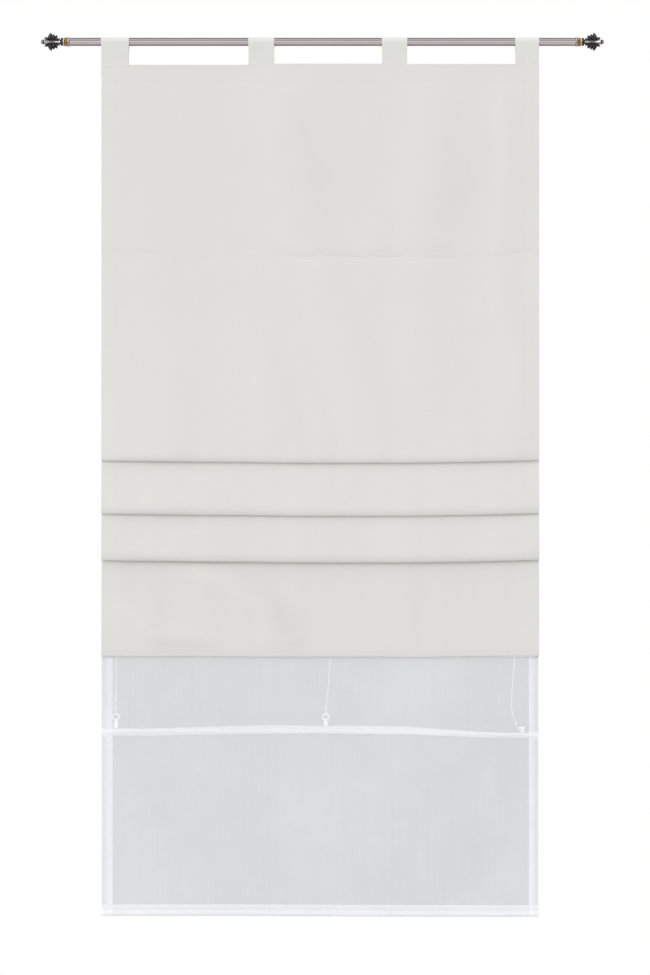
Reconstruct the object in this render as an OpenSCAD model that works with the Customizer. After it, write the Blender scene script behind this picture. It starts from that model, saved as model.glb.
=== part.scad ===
// Tab-top roman blind on a thin metal rod: an opaque pleated panel with a voile strip below it.
// X runs along the rod, +Y points to the wall behind the blind, +Z is up.
// The origin is the middle of the rod's axis. All sizes are in millimetres.

/* [Rod] */
// How far the rod stands out past the cloth on each side, up to its end rings
rod_overhang = 62.5; // [40:0.5:200]
// Outer diameter of the rod
rod_d = 15; // [13:0.5:16]
// Wall of the rod's tube
rod_wall = 0.8; // [0.6:0.1:1.2]

/* [Finials] */
// Depth that a finial's stud reaches into the rod
stud_len = 14; // [8:1:25]
// Diameter of the stud
stud_d = 9; // [6:0.5:10]
// Width of the plain ring on the rod's end
end_ring_w = 3.5; // [2.5:0.1:5]
// Diameter of the plain ring
end_ring_d = 17.4; // [16.5:0.1:20]
// Width of the beaded band
band_w = 6; // [5:0.1:8]
// Number of beads round the band
band_beads = 12; // [8:1:16]
// Number of leaves round a finial
leaf_count = 8; // [4:1:8]
// Thickness of a leaf at its root
leaf_root_t = 2.8; // [2:0.1:3.5]
// Thickness of a leaf at the tip of its longest lobe
leaf_tip_t = 0.9; // [0.6:0.1:1.6]

/* [Cloth] */
// Width of the opaque panel and of the voile
panel_w = 800; // [780:1:850]
// How far the voile's side edges stay inside the opaque panel's
voile_inset = 1.8; // [0:0.1:4]
// Thickness of the opaque cloth
cloth_t = 0.8; // [0.5:0.1:1]
// Thickness of the voile
voile_t = 0.4; // [0.3:0.05:0.6]
// Distance from the rod's axis down to the panel's top edge
head_drop = 42; // [35:1:60]
// Distance from the rod's axis down to the stitched pocket of the first lath
seam_drop = 391; // [300:1:500]
// Distance from the rod's axis down to the first pleat's edge
pleat_drop_1 = 768; // [740:1:790]
// Distance from the first pleat's edge down to the second's
pleat_gap_2 = 97; // [70:1:115]
// Distance from the second pleat's edge down to the third's
pleat_gap_3 = 85; // [70:1:100]
// Distance from the rod's axis down to the opaque panel's lower edge
hem_drop = 1125; // [1080:1:1160]
// Distance from the rod's axis down to the voile's lath
voile_lath_drop = 1261; // [1240:1:1300]
// Distance from the rod's axis down to the voile's lower edge
blind_drop = 1598.5; // [1500:0.5:1800]
// How far a pleat folds up behind its own edge
tuck = 26; // [20:1:34]
// How far a pleat's edge stands in front of the panel's top
pleat_out = 7.4; // [6:0.1:12]
// Radius of the cloth's soft turn at a pleat's edge
pleat_r = 3.2; // [2:0.1:4]
// Depth of the voile's lower hem
voile_hem = 22; // [18:1:35]
// Height of the voile's lath pocket
voile_pocket = 16; // [14:1:24]

/* [Tabs] */
// Width of a tab
tab_w = 47; // [30:1:60]
// Thickness of a tab's folded strip
tab_t = 1.2; // [0.8:0.1:1.6]
// How far a tab's tail is sewn into the heading
tab_tail = 20; // [12:1:30]
// Height of the facing strip behind the heading
facing_h = 34; // [26:1:50]

/* [Laths] */
// Diameter of a thin lath
lath_d = 4; // [3:0.1:5]
// Diameter of the weight bar in the voile's hem
bar_d = 8; // [6:0.5:10]
// How far a lath's end stays inside the cloth's side edge
lath_inset = 5; // [2:1:15]

/* [Rings and cords] */
// Outer diameter of a plastic ring
ring_od = 14; // [12:0.5:16]
// Thickness of a ring's round section
ring_t = 2.8; // [2:0.1:3.4]
// Width of the tape that holds a ring
tape_w = 7.5; // [5:0.5:12]
// Width to which the tape is drawn together in its ring
tape_neck = 4; // [3:0.5:4.5]
// Thickness of the tape
tape_t = 0.5; // [0.3:0.1:0.8]
// Diameter of a lift cord
cord_d = 1.4; // [1:0.1:1.8]

/* [Hidden] */

// Small fits
slack = 0.3;
sewn = 0.1;
push_fit = 0.05;
wrap_fit = 0.1;

// Where things stand along the rod, as shares of half the cloth's width from its middle
blind_x = -4;
tab_at = [-0.9375, -0.27, 0.3375, 0.945];
cord_at = [-0.935, 0.045, 0.89];
voile_ring_at = [-0.935, 0.025, 0.925];
tab_x = [for (s = tab_at) blind_x + s * panel_w / 2];
cord_x = [for (s = cord_at) blind_x + s * panel_w / 2];
voile_ring_x = [for (s = voile_ring_at) blind_x + s * panel_w / 2];

// Rod and finial
rod_len = panel_w + 2 * rod_overhang;
rod_r = rod_d / 2;
stud_r = stud_d / 2;
stud_hole = stud_r + push_fit;
band_r = 8;
// Beads of this size just miss each other
bead_share = sin(180 / band_beads);
bead_r = 0.97 * band_r * bead_share / (1 + bead_share);
bead_at = band_r - bead_r;
band_base = bead_at - 0.4;
band_end = end_ring_w + band_w;
collar_w = 2;
collar_r = 7.4;
bead_len = 4.5;
bead_end = band_end + collar_w + bead_len;
stem_r = 3.2;
leaf_from = bead_end + 1;
// Tips of a leaf's lobes and the notches before them: along the axis from the leaf's root, and outwards
leaf_tips = [[1.4, 7.8], [5.4, 11.9], [10.6, 13.8], [16, 17.2], [28.4, 9.6]];
leaf_notches = [[0, 4.2], [3.8, 5.4], [9.4, 10.6], [14.2, 12], [22.4, 8.6]];
leaf_end = [19.5, 1.2];
leaf_reach = 18;
// The stem behind the leaves: [radius, distance from the leaf's root], then the bell round the bud
stem = [[2.4, 8], [1.6, 16], [1.5, 19], [2.2, 23], [3.6, 27], [4.7, 30.5], [4.7, 31.5],
    [3.9, 32.1], [3.9, 32.7]];
bud_r = 4.5;
bud_from_leaf = 33.3;

// Cloth levels, as heights
head_z = -head_drop;
seam_z = -seam_drop;
pleat_z = [-pleat_drop_1, -pleat_drop_1 - pleat_gap_2, -pleat_drop_1 - pleat_gap_2 - pleat_gap_3];
hem_z = -hem_drop;
voile_lath_z = -voile_lath_drop;

// Cloth depths, as places along Y
panel_y = -tab_t - sewn - cloth_t / 2;
fold_y = panel_y - pleat_out;
lath_r = lath_d / 2;
turn_r = lath_r + slack + cloth_t / 2;
rise_y = fold_y + 2 * pleat_r;
tuck_lath_y = rise_y + turn_r;
back_y = tuck_lath_y + turn_r;
hem_y = panel_y - 2.4;
hem_lath_y = hem_y + turn_r;
hem_lath_z = hem_z + cloth_t / 2 + turn_r;
hem_fold = 28;
voile_y = hem_lath_y + turn_r + cloth_t / 2 + slack + voile_t / 2;
voile_top_z = hem_z + 20;
facing_t = cloth_t;
facing_y = tab_t + sewn + facing_t / 2;
pocket_t = 0.6;
pocket_half = 15;
lath_1_y = panel_y + cloth_t / 2 + slack + lath_r;
pocket_back = lath_1_y + lath_r + slack + pocket_t;
bar_r = bar_d / 2;
bar_z = -blind_drop + voile_t + slack + bar_r;
voile_back = voile_y + lath_r + slack + voile_t;
lath_len = panel_w - 2 * lath_inset;
lath_z = [seam_z, pleat_z[0] + tuck, pleat_z[1] + tuck, pleat_z[2] + tuck];
lath_y = [lath_1_y, tuck_lath_y, tuck_lath_y, tuck_lath_y];

// Rings and their tapes
ring_sr = ring_t / 2;
ring_r = ring_od / 2 - ring_sr;
cord_r = cord_d / 2;
wrap_r = ring_sr + cord_r + wrap_fit;
// The tape's loop has room for the bend of the ring's rim across the tape
loop_r = ring_sr + 0.7;
loop_out = wrap_r + cord_r + slack;
tail_out = slack + tape_t;
// The cloth's back face at each level of rings: pocket of the first lath, then the three tucks
ring_back = [pocket_back, back_y + cloth_t / 2, back_y + cloth_t / 2, back_y + cloth_t / 2];
ring_lift = 1;
heading_rim_drop = 20;
standing_rise = 20.5;
fallen_rise = 9;
heading_rim_z = head_z - heading_rim_drop;
facing_back = facing_y + facing_t / 2;
voile_rim_z = voile_lath_z + standing_rise;
flat_rim_z = voile_lath_z + fallen_rise;
// Distance from a ring's rim to its tape's stitched tail, and the tail's length
tape_drop = 6;
tape_tail = 10;
standing_drop = 8;
standing_tail = 18;

// Lift cords: a turn round the top ring, chosen points down the back, a turn round the low ring
wrap_steps = 6;
cord_sides = 8;
run_y = back_y + cloth_t / 2 + loop_out + ring_r;
run_ends = [head_z - 58, head_z - 88, hem_z + 525, hem_z + 25];
run_steps_y = [-2.5, 0, 0, 0];
// The slack cord's way from its run to its fallen ring, from its run and the voile's lath
slack_way = [[-1, 0.1, 121], [-3.5, 0.6, 86], [-5, 1.1, 56], [-4, 1.5, 33], [1, 1.7, 18]];

$fn = 48;

// Points of an arc from angle a to angle b in n steps
function arc(c, r, a, b, n) =
    [for (i = [0:n]) c + r * [cos(a + (b - a) * i / n), sin(a + (b - a) * i / n)]];

// Points after a and up to b on a bow that bulges h to the left of the way from a to b
function bow(a, b, h, n) = let (d = b - a, side = [-d[1], d[0]] / norm(d))
    [for (i = [1:n]) let (u = i / n) a + u * d + side * h * 4 * u * (1 - u)];

function unit(v) = v / norm(v);

// The side of a path at point i, long enough to keep the strip's thickness at a bend
function miter(p, i) = let (
    n = len(p) - 1,
    d0 = unit(i == 0 ? p[1] - p[0] : p[i] - p[i - 1]),
    d1 = unit(i == n ? p[n] - p[n - 1] : p[i + 1] - p[i]),
    m = unit(d0 + d1)
) [-m[1], m[0]] / (m * d1);

// Outline of a strip of thickness t that follows a path
function strip(p, t) = concat(
    [for (i = [0:len(p) - 1]) p[i] + miter(p, i) * t / 2],
    [for (i = [len(p) - 1:-1:0]) p[i] - miter(p, i) * t / 2]
);

// Angle at which a line from point q touches a circle, on its side s (1 or -1)
function touch(q, c, r, s) = atan2(q[1] - c[1], q[0] - c[0]) + s * acos(r / norm(q - c));

// Lays a section drawn in Y and Z along X, centred on x and w wide
module along_x(x, w) {
    translate([x - w / 2, 0, 0]) rotate([90, 0, 90]) linear_extrude(height = w) children();
}

// Section of a strip that loops over a round piece at c and is sewn flat below it.
// The tail is two layers thick, centred on tail_y, from tail_z down to end_z.
module loop_section(c, r, t, tail_y, tail_z, end_z) {
    front = [tail_y - t, tail_z];
    back = [tail_y + t, tail_z];
    inner = [tail_y, tail_z - t / 2];
    outer_front = touch(front, c, r + t, -1);
    outer_back = touch(back, c, r + t, 1);
    inner_front = touch(inner, c, r, -1);
    inner_back = touch(inner, c, r, 1);
    rim = concat([[tail_y - t, end_z], front],
        arc(c, r + t, outer_front + 360, outer_back, 18),
        [back, [tail_y + t, end_z]]);
    hole = concat([inner], arc(c, r, inner_front + 360, inner_back, 18));
    count = len(rim);
    polygon(concat(rim, hole), [[for (i = [0:count - 1]) i], [for (i = [0:len(hole) - 1]) count + i]]);
}

module rod_tube() {
    color([0.62, 0.58, 0.59]) rotate([0, 90, 0]) difference() {
        cylinder(h = rod_len, r = rod_r, center = true);
        cylinder(h = rod_len + 2, r = rod_r - rod_wall, center = true);
    }
}

// Puts a piece that was drawn outwards from x = 0 on one end of the rod: 1 is right, -1 left
module on_end(side) {
    if (side > 0) translate([rod_len / 2, 0, 0]) children();
    else mirror([1, 0, 0]) translate([rod_len / 2, 0, 0]) children();
}

// Bush pushed into the tube's end, which holds the finial's stud
module rod_plug(side) {
    color([0.3, 0.3, 0.3]) on_end(side) translate([-stud_len, 0, 0]) rotate([0, 90, 0]) difference() {
        cylinder(h = stud_len, r = rod_r - rod_wall - push_fit);
        translate([0, 0, -1]) cylinder(h = stud_len + 2, r = stud_hole);
    }
}

// Plain ring with rounded shoulders that hides the tube's cut end
module end_ring(side) {
    ease = 0.6;
    color([0.78, 0.77, 0.79]) on_end(side) rotate([0, 90, 0]) rotate_extrude()
        polygon([[stud_hole, 0], [end_ring_d / 2 - ease, 0], [end_ring_d / 2, ease],
            [end_ring_d / 2, end_ring_w - ease], [end_ring_d / 2 - ease, end_ring_w],
            [stud_hole, end_ring_w]]);
}

// One long bead of the band, standing along the rod
module bead() {
    foot = 1.2;
    top = band_w - foot;
    ease = bead_r * 0.5;
    rotate_extrude() polygon([[0, foot], [bead_r - ease, foot], [bead_r, foot + ease],
        [bead_r, top - ease], [bead_r - ease, top], [0, top]]);
}

// Band of beads between two thin lips
module bead_band(side) {
    lip = 0.8;
    lip_r = band_r - 0.4;
    color([0.72, 0.55, 0.2]) on_end(side) translate([end_ring_w, 0, 0]) rotate([0, 90, 0]) difference() {
        union() {
            cylinder(h = band_w, r = band_base);
            cylinder(h = lip, r = lip_r);
            translate([0, 0, band_w - lip]) cylinder(h = lip, r = lip_r);
            for (i = [0:band_beads - 1]) rotate([0, 0, (i + 0.37) * 360 / band_beads])
                translate([bead_at, 0, 0]) bead();
        }
        translate([0, 0, -1]) cylinder(h = band_w + 2, r = stud_hole);
    }
}

// Side view of one leaf: four lobes whose points curl back to the rod, and one that points outwards
module leaf_outline() {
    last = len(leaf_tips) - 1;
    lobes = [for (i = [0:last]) concat(
        bow(leaf_notches[i], leaf_tips[i], -0.35, 4),
        bow(leaf_tips[i], i < last ? leaf_notches[i + 1] : leaf_end, i < last ? 0.5 + i * 0.25 : 0.3, 5)
    )];
    polygon(concat([[0, 0], leaf_notches[0]], [for (l = lobes) each l], [[leaf_end[0], 0]]));
}

module leaf() {
    intersection() {
        translate([leaf_from, 0, 0])
            linear_extrude(height = leaf_root_t + 1, center = true) leaf_outline();
        rotate([90, 0, 90]) linear_extrude(height = leaf_from + leaf_tips[len(leaf_tips) - 1][0] + 1)
            polygon([[0, -leaf_root_t / 2], [leaf_reach, -leaf_tip_t / 2],
                [leaf_reach, leaf_tip_t / 2], [0, leaf_root_t / 2]]);
    }
}

// The turned core: stud, collar, round bead, stem, flared bud and ball
module finial_core() {
    bud_at = leaf_from + bud_from_leaf;
    bead = arc([collar_r - 2, band_end + collar_w + bead_len / 2], bead_len / 2, -80, 80, 8);
    bud = arc([0, bud_at], bud_r, 0, 84, 8);
    rotate([0, 90, 0]) rotate_extrude() polygon(concat(
        [[0, -stud_len], [stud_r - 1, -stud_len], [stud_r, -stud_len + 1],
            [stud_r, band_end], [collar_r, band_end], [collar_r, band_end + collar_w]],
        bead,
        [[stem_r + 1.2, bead_end + 0.2], [stem_r, bead_end + 1.4]],
        [for (p = stem) [p[0], leaf_from + p[1]]],
        bud, [[0, bud_at + bud_r]]));
}

module finial(side) {
    color([0.2, 0.19, 0.18]) on_end(side) union() {
        finial_core();
        for (i = [0:leaf_count - 1]) rotate([(i + 0.5) * 360 / leaf_count, 0, 0]) leaf();
    }
}

// Cloth loop over the rod, its two layers sewn into the heading
module tab(i) {
    color([0.87, 0.87, 0.84]) along_x(tab_x[i], tab_w)
        loop_section([0, 0], rod_r + slack, tab_t, 0, head_z + 4, head_z - tab_tail);
}

// Strip behind the heading: the tabs' tails are sewn between it and the panel
module heading_facing() {
    color([0.85, 0.85, 0.82]) along_x(blind_x, panel_w)
        polygon(strip([[facing_y, head_z], [facing_y, head_z - facing_h]], facing_t));
}

// The panel's middle line from the heading down: a soft turn forwards and up at each pleat,
// a turn over the lath, and the next drop
module opaque_panel() {
    pleats = [for (z = pleat_z) concat(
        arc([fold_y + pleat_r, z + cloth_t / 2 + pleat_r], pleat_r, 180, 360, 10),
        arc([tuck_lath_y, z + tuck], turn_r, 180, 0, 10)
    )];
    hem = arc([hem_lath_y, hem_lath_z], turn_r, 180, 360, 10);
    hem_top = [hem_y + cloth_t + 1, hem_z + hem_fold];
    path = concat([[panel_y, head_z], [panel_y, seam_z]], [for (p = pleats) each p], hem, [hem_top]);
    color([0.87, 0.87, 0.84]) along_x(blind_x, panel_w) polygon(strip(path, cloth_t));
}

// Tape sewn across the panel's back, which bulges round the first lath
module lath_pocket_1() {
    flat_y = panel_y + cloth_t / 2 + sewn + pocket_t / 2;
    out_y = pocket_back - pocket_t / 2;
    half = lath_r * 0.6;
    foot = lath_r + 4.5;
    path = [[flat_y, pocket_half], [flat_y, foot], [out_y, half], [out_y, -half], [flat_y, -foot],
        [flat_y, -pocket_half]];
    color([0.88, 0.88, 0.86]) along_x(blind_x, panel_w) translate([0, seam_z])
        polygon(strip(path, pocket_t));
}

module rod_along_x(y, z, r) {
    color([0.93, 0.93, 0.92]) translate([blind_x, y, z]) rotate([0, 90, 0])
        cylinder(h = lath_len, r = r, center = true);
}

// The voile's section: a single layer, a stitched pocket for its lath and a hem round the bar.
// The hem's second layer lies behind the first.
module voile_panel() {
    skin = voile_t / 2;
    out = lath_r + slack;
    top = voile_lath_z + voile_pocket / 2;
    foot = voile_lath_z - voile_pocket / 2;
    flat = lath_r * 0.6;
    hem_top = -blind_drop + voile_hem;
    bar = [0, bar_z];
    hem_r = bar_r + slack;
    front = touch([-skin, hem_top], bar, hem_r + voile_t, 1);
    back = touch([skin + voile_t, hem_top], bar, hem_r + voile_t, -1);
    eye = [skin, hem_top - 1];
    rim = concat(
        [[-skin, voile_top_z], [-skin, top], [-out - voile_t, voile_lath_z + flat],
            [-out - voile_t, voile_lath_z - flat], [-skin, foot], [-skin, hem_top]],
        arc(bar, hem_r + voile_t, front, back + 360, 18),
        [[skin + voile_t, hem_top], [skin, hem_top + voile_t], [skin, foot],
            [out + voile_t, voile_lath_z - flat], [out + voile_t, voile_lath_z + flat],
            [skin, top], [skin, voile_top_z]]);
    pocket = [[0, top - 1.5], [-out, voile_lath_z + flat], [-out, voile_lath_z - flat],
        [0, foot + 1.5], [out, voile_lath_z - flat], [out, voile_lath_z + flat]];
    hem = concat([eye], arc(bar, hem_r, touch(eye, bar, hem_r, 1), touch(eye, bar, hem_r, -1) + 360, 18));
    a = len(rim);
    b = a + len(pocket);
    color([0.85, 0.86, 0.88, 0.8]) along_x(blind_x, panel_w - 2 * voile_inset) translate([voile_y, 0])
        polygon(concat(rim, pocket, hem), [[for (i = [0:a - 1]) i], [for (i = [a:b - 1]) i],
            [for (i = [b:b + len(hem) - 1]) i]]);
}

// A plastic ring: flat lies level round a cord, otherwise it faces the room
module ring(x, y, z, flat) {
    color([0.95, 0.95, 0.95]) translate([x, y, z]) rotate([flat ? 0 : 90, 0, 0])
        rotate_extrude() translate([ring_r, 0]) circle(r = ring_sr);
}

// Rings at lath level i, level round the cords
module rings_at_lath(i) {
    y = ring_back[i] + loop_out + ring_r;
    for (x = cord_x) ring(x, y, lath_z[i] + ring_lift, true);
}

module rings_heading() {
    for (x = cord_x) ring(x, facing_back + loop_out, heading_rim_z - ring_r, false);
}

// The first two stand up on their taut cords, the last has fallen level
module rings_voile() {
    y = voile_back + loop_out;
    ring(voile_ring_x[0], y, voile_rim_z + ring_r, false);
    ring(voile_ring_x[1], y, voile_rim_z + ring_r, false);
    ring(voile_ring_x[2], y + ring_r, flat_rim_z, true);
}

// Short tape round a ring's rim at height z, sewn to the cloth face at y with its tail below the rim.
// It is drawn together above its tail, so that it passes through the ring.
module ring_tape(x, y, z, drop, tail) {
    reach = loop_r + tape_t;
    depth = 4 * loop_out;
    half = tape_w / 2;
    neck = tape_neck / 2;
    color([0.96, 0.96, 0.96]) intersection() {
        along_x(x, tape_w)
            loop_section([y + loop_out, z], loop_r, tape_t, y + tail_out, z - drop, z - drop - tail);
        translate([x, y + depth, z]) rotate([90, 0, 0]) linear_extrude(height = 2 * depth)
            polygon([[-half, -drop - tail - 1], [half, -drop - tail - 1], [half, -drop], [neck, -reach],
                [neck, reach + 1], [-neck, reach + 1], [-neck, -reach], [-half, -drop]]);
    }
}

module tapes_at_lath(i) {
    for (x = cord_x) ring_tape(x, ring_back[i], lath_z[i] + ring_lift, tape_drop, tape_tail);
}

// These hang the other way up, with the ring below
module tapes_heading() {
    for (x = cord_x) translate([0, 0, heading_rim_z]) mirror([0, 0, 1])
        ring_tape(x, facing_back, 0, tape_drop, tape_tail);
}

module tapes_voile() {
    ring_tape(voile_ring_x[0], voile_back, voile_rim_z, standing_drop, standing_tail);
    ring_tape(voile_ring_x[1], voile_back, voile_rim_z, standing_drop, standing_tail);
    ring_tape(voile_ring_x[2], voile_back, flat_rim_z, tape_drop, tape_tail);
}

// Points of a cord's turn round a ring's rim at c: u and v span the turn's plane
function wrap(c, u, v, a, b) =
    [for (i = [0:wrap_steps]) let (t = a + (b - a) * i / wrap_steps) c + wrap_r * (cos(t) * u + sin(t) * v)];

// Round tube along points p, closed at both ends
module cord_tube(p) {
    n = len(p);
    dir = [for (i = [0:n - 1]) unit(i == 0 ? p[1] - p[0]
        : i == n - 1 ? p[i] - p[i - 1] : unit(p[i] - p[i - 1]) + unit(p[i + 1] - p[i]))];
    skin = [for (i = [0:n - 1]) let (
        a = unit(cross(dir[i], [0.9, 0.1, 0.42])), b = cross(dir[i], a)
    ) each [for (k = [0:cord_sides - 1])
        p[i] + cord_r * (cos(k * 360 / cord_sides) * a + sin(k * 360 / cord_sides) * b)]];
    sides = [for (i = [0:n - 2]) each [for (k = [0:cord_sides - 1])
        let (m = (k + 1) % cord_sides, q = i * cord_sides)
        each [[q + k, q + m, q + cord_sides + m], [q + k, q + cord_sides + m, q + cord_sides + k]]]];
    caps = [[for (k = [cord_sides - 1:-1:0]) k], [for (k = [0:cord_sides - 1]) (n - 1) * cord_sides + k]];
    color([0.94, 0.94, 0.94]) polyhedron(skin, concat(sides, caps));
}

// Cord i, tied round its heading ring and round its low ring. The slack one ends at a fallen ring.
module lift_cord(i, flat) {
    run = [for (k = [0:3]) [cord_x[i], run_y + run_steps_y[k], run_ends[k]]];
    taut = [[(cord_x[i] + voile_ring_x[i]) / 2, run_y - 0.6, hem_z - 35],
        [voile_ring_x[i], run_y - 1.3, voile_lath_z + 46]];
    loose = [for (p = slack_way) [cord_x[i], run_y, voile_lath_z] + p];
    top = [cord_x[i], facing_back + loop_out, heading_rim_z - 2 * ring_r];
    y = voile_back + loop_out;
    low = flat ? [voile_ring_x[i] - ring_r, y + ring_r, flat_rim_z]
        : [voile_ring_x[i], y, voile_rim_z + 2 * ring_r];
    out = flat ? [-1, 0, 0] : [0, 1, 0];
    cord_tube(concat(
        wrap(top, [0, 1, 0], [0, 0, 1], 250, 0),
        run,
        flat ? loose : taut,
        wrap(low, out, [0, 0, 1], 0, -250)));
}

rod_tube();
end_ring(-1);  // end_ring_left
end_ring(1);  // end_ring_right
bead_band(-1);  // bead_band_left
bead_band(1);  // bead_band_right
rod_plug(-1);  // rod_plug_left
rod_plug(1);  // rod_plug_right
finial(-1);  // finial_left
finial(1);  // finial_right
for (i = [0:3]) tab(i);
heading_facing();
opaque_panel();
lath_pocket_1();
for (i = [0:3]) rod_along_x(lath_y[i], lath_z[i], lath_r);
rod_along_x(hem_lath_y, hem_lath_z, lath_r);  // hem_lath
voile_panel();
rod_along_x(voile_y, voile_lath_z, lath_r);  // voile_lath
rod_along_x(voile_y, bar_z, bar_r);  // weight_bar
rings_heading();
for (i = [0:3]) rings_at_lath(i);
rings_voile();
tapes_heading();
for (i = [0:3]) tapes_at_lath(i);
tapes_voile();
lift_cord(0, false);  // lift_cord_left
lift_cord(1, false);  // lift_cord_middle
lift_cord(2, true);  // lift_cord_right
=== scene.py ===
# Tab-top roman blind: looks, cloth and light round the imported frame. Metres throughout.
import math
import random

import bmesh
import bpy
import numpy as np
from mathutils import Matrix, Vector


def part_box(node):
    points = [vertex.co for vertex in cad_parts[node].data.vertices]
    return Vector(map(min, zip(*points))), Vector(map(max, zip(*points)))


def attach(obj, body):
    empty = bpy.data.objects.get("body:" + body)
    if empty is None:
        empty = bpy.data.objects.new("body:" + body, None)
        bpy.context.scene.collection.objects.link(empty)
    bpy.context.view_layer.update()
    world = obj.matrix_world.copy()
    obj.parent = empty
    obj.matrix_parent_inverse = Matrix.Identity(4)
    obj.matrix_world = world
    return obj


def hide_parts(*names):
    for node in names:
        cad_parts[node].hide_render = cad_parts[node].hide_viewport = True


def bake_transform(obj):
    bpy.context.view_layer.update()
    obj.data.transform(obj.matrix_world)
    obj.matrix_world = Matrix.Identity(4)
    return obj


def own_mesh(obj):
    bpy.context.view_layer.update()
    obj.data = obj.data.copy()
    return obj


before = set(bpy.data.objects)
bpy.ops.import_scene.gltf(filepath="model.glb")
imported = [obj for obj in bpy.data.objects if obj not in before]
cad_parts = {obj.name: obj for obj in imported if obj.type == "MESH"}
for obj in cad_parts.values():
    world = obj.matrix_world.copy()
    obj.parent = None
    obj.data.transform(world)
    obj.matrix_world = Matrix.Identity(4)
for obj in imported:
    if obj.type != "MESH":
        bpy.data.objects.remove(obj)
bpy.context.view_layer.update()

MM = 0.001
UP = (0, 0, 1)
ROOT = "rod_and_heading"

# The camera: straight in front, far off, with the height that the picture shows at the cloth
SEEN_HEIGHT = 1.7829
LENS_MM = 120
SENSOR_MM = 36
CAMERA_X = 0.0047
CAMERA_Z = -0.8148
FLOOR_Z = -2.0
FLOOR_R = 1.7
# The pale backdrop that shows through the sheer cloth; all round the blind it is white
BEHIND_VOILE = 0.48

# Cloth levels and depths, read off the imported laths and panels
panel_low, panel_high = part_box("opaque_panel")
voile_low, voile_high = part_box("voile_panel")
LEFT, RIGHT = panel_low[0], panel_high[0]
MIDDLE = (LEFT + RIGHT) / 2
HALF = (RIGHT - LEFT) / 2
HEAD_Z = panel_high[2]
HEM_Z = panel_low[2]
CLOTH_T = 0.8 * MM
VOILE_T = 0.35 * MM
TAPE_T = 0.6 * MM
PANEL_Y = -1.7 * MM
PANEL_SIDE_HEM = 26 * MM
PANEL_HEM_UP = 28 * MM
# How far the pleats stand out from the panel, and the turn of the cloth over its laths
FOLD_OUT = 7.4 * MM
TURN_R = 2.7 * MM


def centre(node):
    """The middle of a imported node's box."""
    low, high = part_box(node)
    return (Vector(low) + Vector(high)) / 2


def half_height(node):
    low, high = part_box(node)
    return (high[2] - low[2]) / 2


lath_at = [centre(f"lath_{i}") for i in (1, 2, 3, 4)]
hem_lath_at = centre("hem_lath")
voile_lath_at = centre("voile_lath")
bar_at = centre("weight_bar")
# How far each pleat hangs down below its lath
TUCK = 26 * MM
VOILE_Y = voile_lath_at[1]

# Lift cords: the routes that the solids follow
CORD_D = 1.4 * MM
# The cord where it is pulled thin, in its knots and its spare end
THIN_CORD_R = CORD_D / 2 * 0.85
RING_R = 5.6 * MM
RING_SR = 1.4 * MM
WRAP_R = RING_SR + CORD_D / 2 + 0.1 * MM
TAPE_W = 7.5 * MM
TAPE_NECK = 4 * MM
TAPE_LOOP_R = RING_SR + 0.7 * MM
# How far the fallen ring sinks with its bent lath
SUNK = 3.5 * MM
CORD_X = [MIDDLE + s * HALF for s in (-0.935, 0.045, 0.89)]
VOILE_RING_X = [MIDDLE + s * HALF for s in (-0.935, 0.025, 0.925)]
RUN_Y = centre("rings_2")[1]
# The left cord's spare end by its ring, and the slack right cord's way from its run to its fallen ring:
# from the ring or the run, and from the voile's lath
LEFT_LOOP = [(0, 0.0685), (-0.0026, 0.0575), (-0.0045, 0.046), (-0.0028, 0.035)]
SLACK_WAY = [(-1, 0.1, 121), (-3.5, 0.6, 86), (-5, 1.1, 56), (-4, 1.5, 33), (1, 1.7, 18)]


def make_camera():
    data = bpy.data.cameras.new("view")
    data.lens = LENS_MM
    data.sensor_width = SENSOR_MM
    data.clip_end = 60
    camera = bpy.data.objects.new("view", data)
    camera.location = (CAMERA_X, -LENS_MM / SENSOR_MM * SEEN_HEIGHT, CAMERA_Z)
    camera.rotation_euler = (math.pi / 2, 0, 0)
    bpy.context.collection.objects.link(camera)
    bpy.context.scene.camera = camera


def soft_sun(name, towards, strength, spread, colour=(1, 1, 1)):
    """A far, wide, soft light that shines the given way."""
    data = bpy.data.lights.new(name, "SUN")
    data.energy = strength
    data.angle = math.radians(spread)
    data.color = colour
    light = bpy.data.objects.new(name, data)
    light.rotation_euler = Vector(towards).to_track_quat("-Z", "Y").to_euler()
    bpy.context.collection.objects.link(light)


def make_light():
    scene = bpy.context.scene
    scene.view_settings.view_transform = "Standard"
    scene.view_settings.look = "None"
    world = bpy.data.worlds.new("studio")
    scene.world = world
    world.use_nodes = True
    tree = world.node_tree
    tree.nodes.clear()
    path = put(tree, "ShaderNodeLightPath").outputs
    tone = Field(path["Transparent Depth"]).maths("GREATER_THAN", 1.5).ramp(0, 1, 1.0, BEHIND_VOILE)
    seen = field(tree, "ShaderNodeBackground", {"Color": (1, 1, 1), "Strength": tone})
    light = field(tree, "ShaderNodeBackground", {"Color": (0.96, 0.98, 1), "Strength": 0.66})
    both = field(tree, "ShaderNodeMixShader", {0: path["Is Camera Ray"], 1: light, 2: seen})
    put(tree, "ShaderNodeOutputWorld", {"Surface": both})
    soft_sun("key", (0.85, 1, -0.42), 1.3, 45, (1, 0.985, 0.965))
    soft_sun("top", (0.15, 0.5, -1), 0.5, 50)
    soft_sun("back", (-0.5, -1, -0.6), 1.0, 50)


# Node helpers
def link(value, socket):
    """Links a field or a node's output to a socket, or sets the socket to a plain value."""
    value = getattr(value, "socket", value)
    if isinstance(value, bpy.types.NodeSocket):
        socket.id_data.links.new(value, socket)
    elif isinstance(value, tuple) and len(socket.default_value) > len(value):
        socket.default_value = (*value, 1)
    else:
        socket.default_value = value


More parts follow.
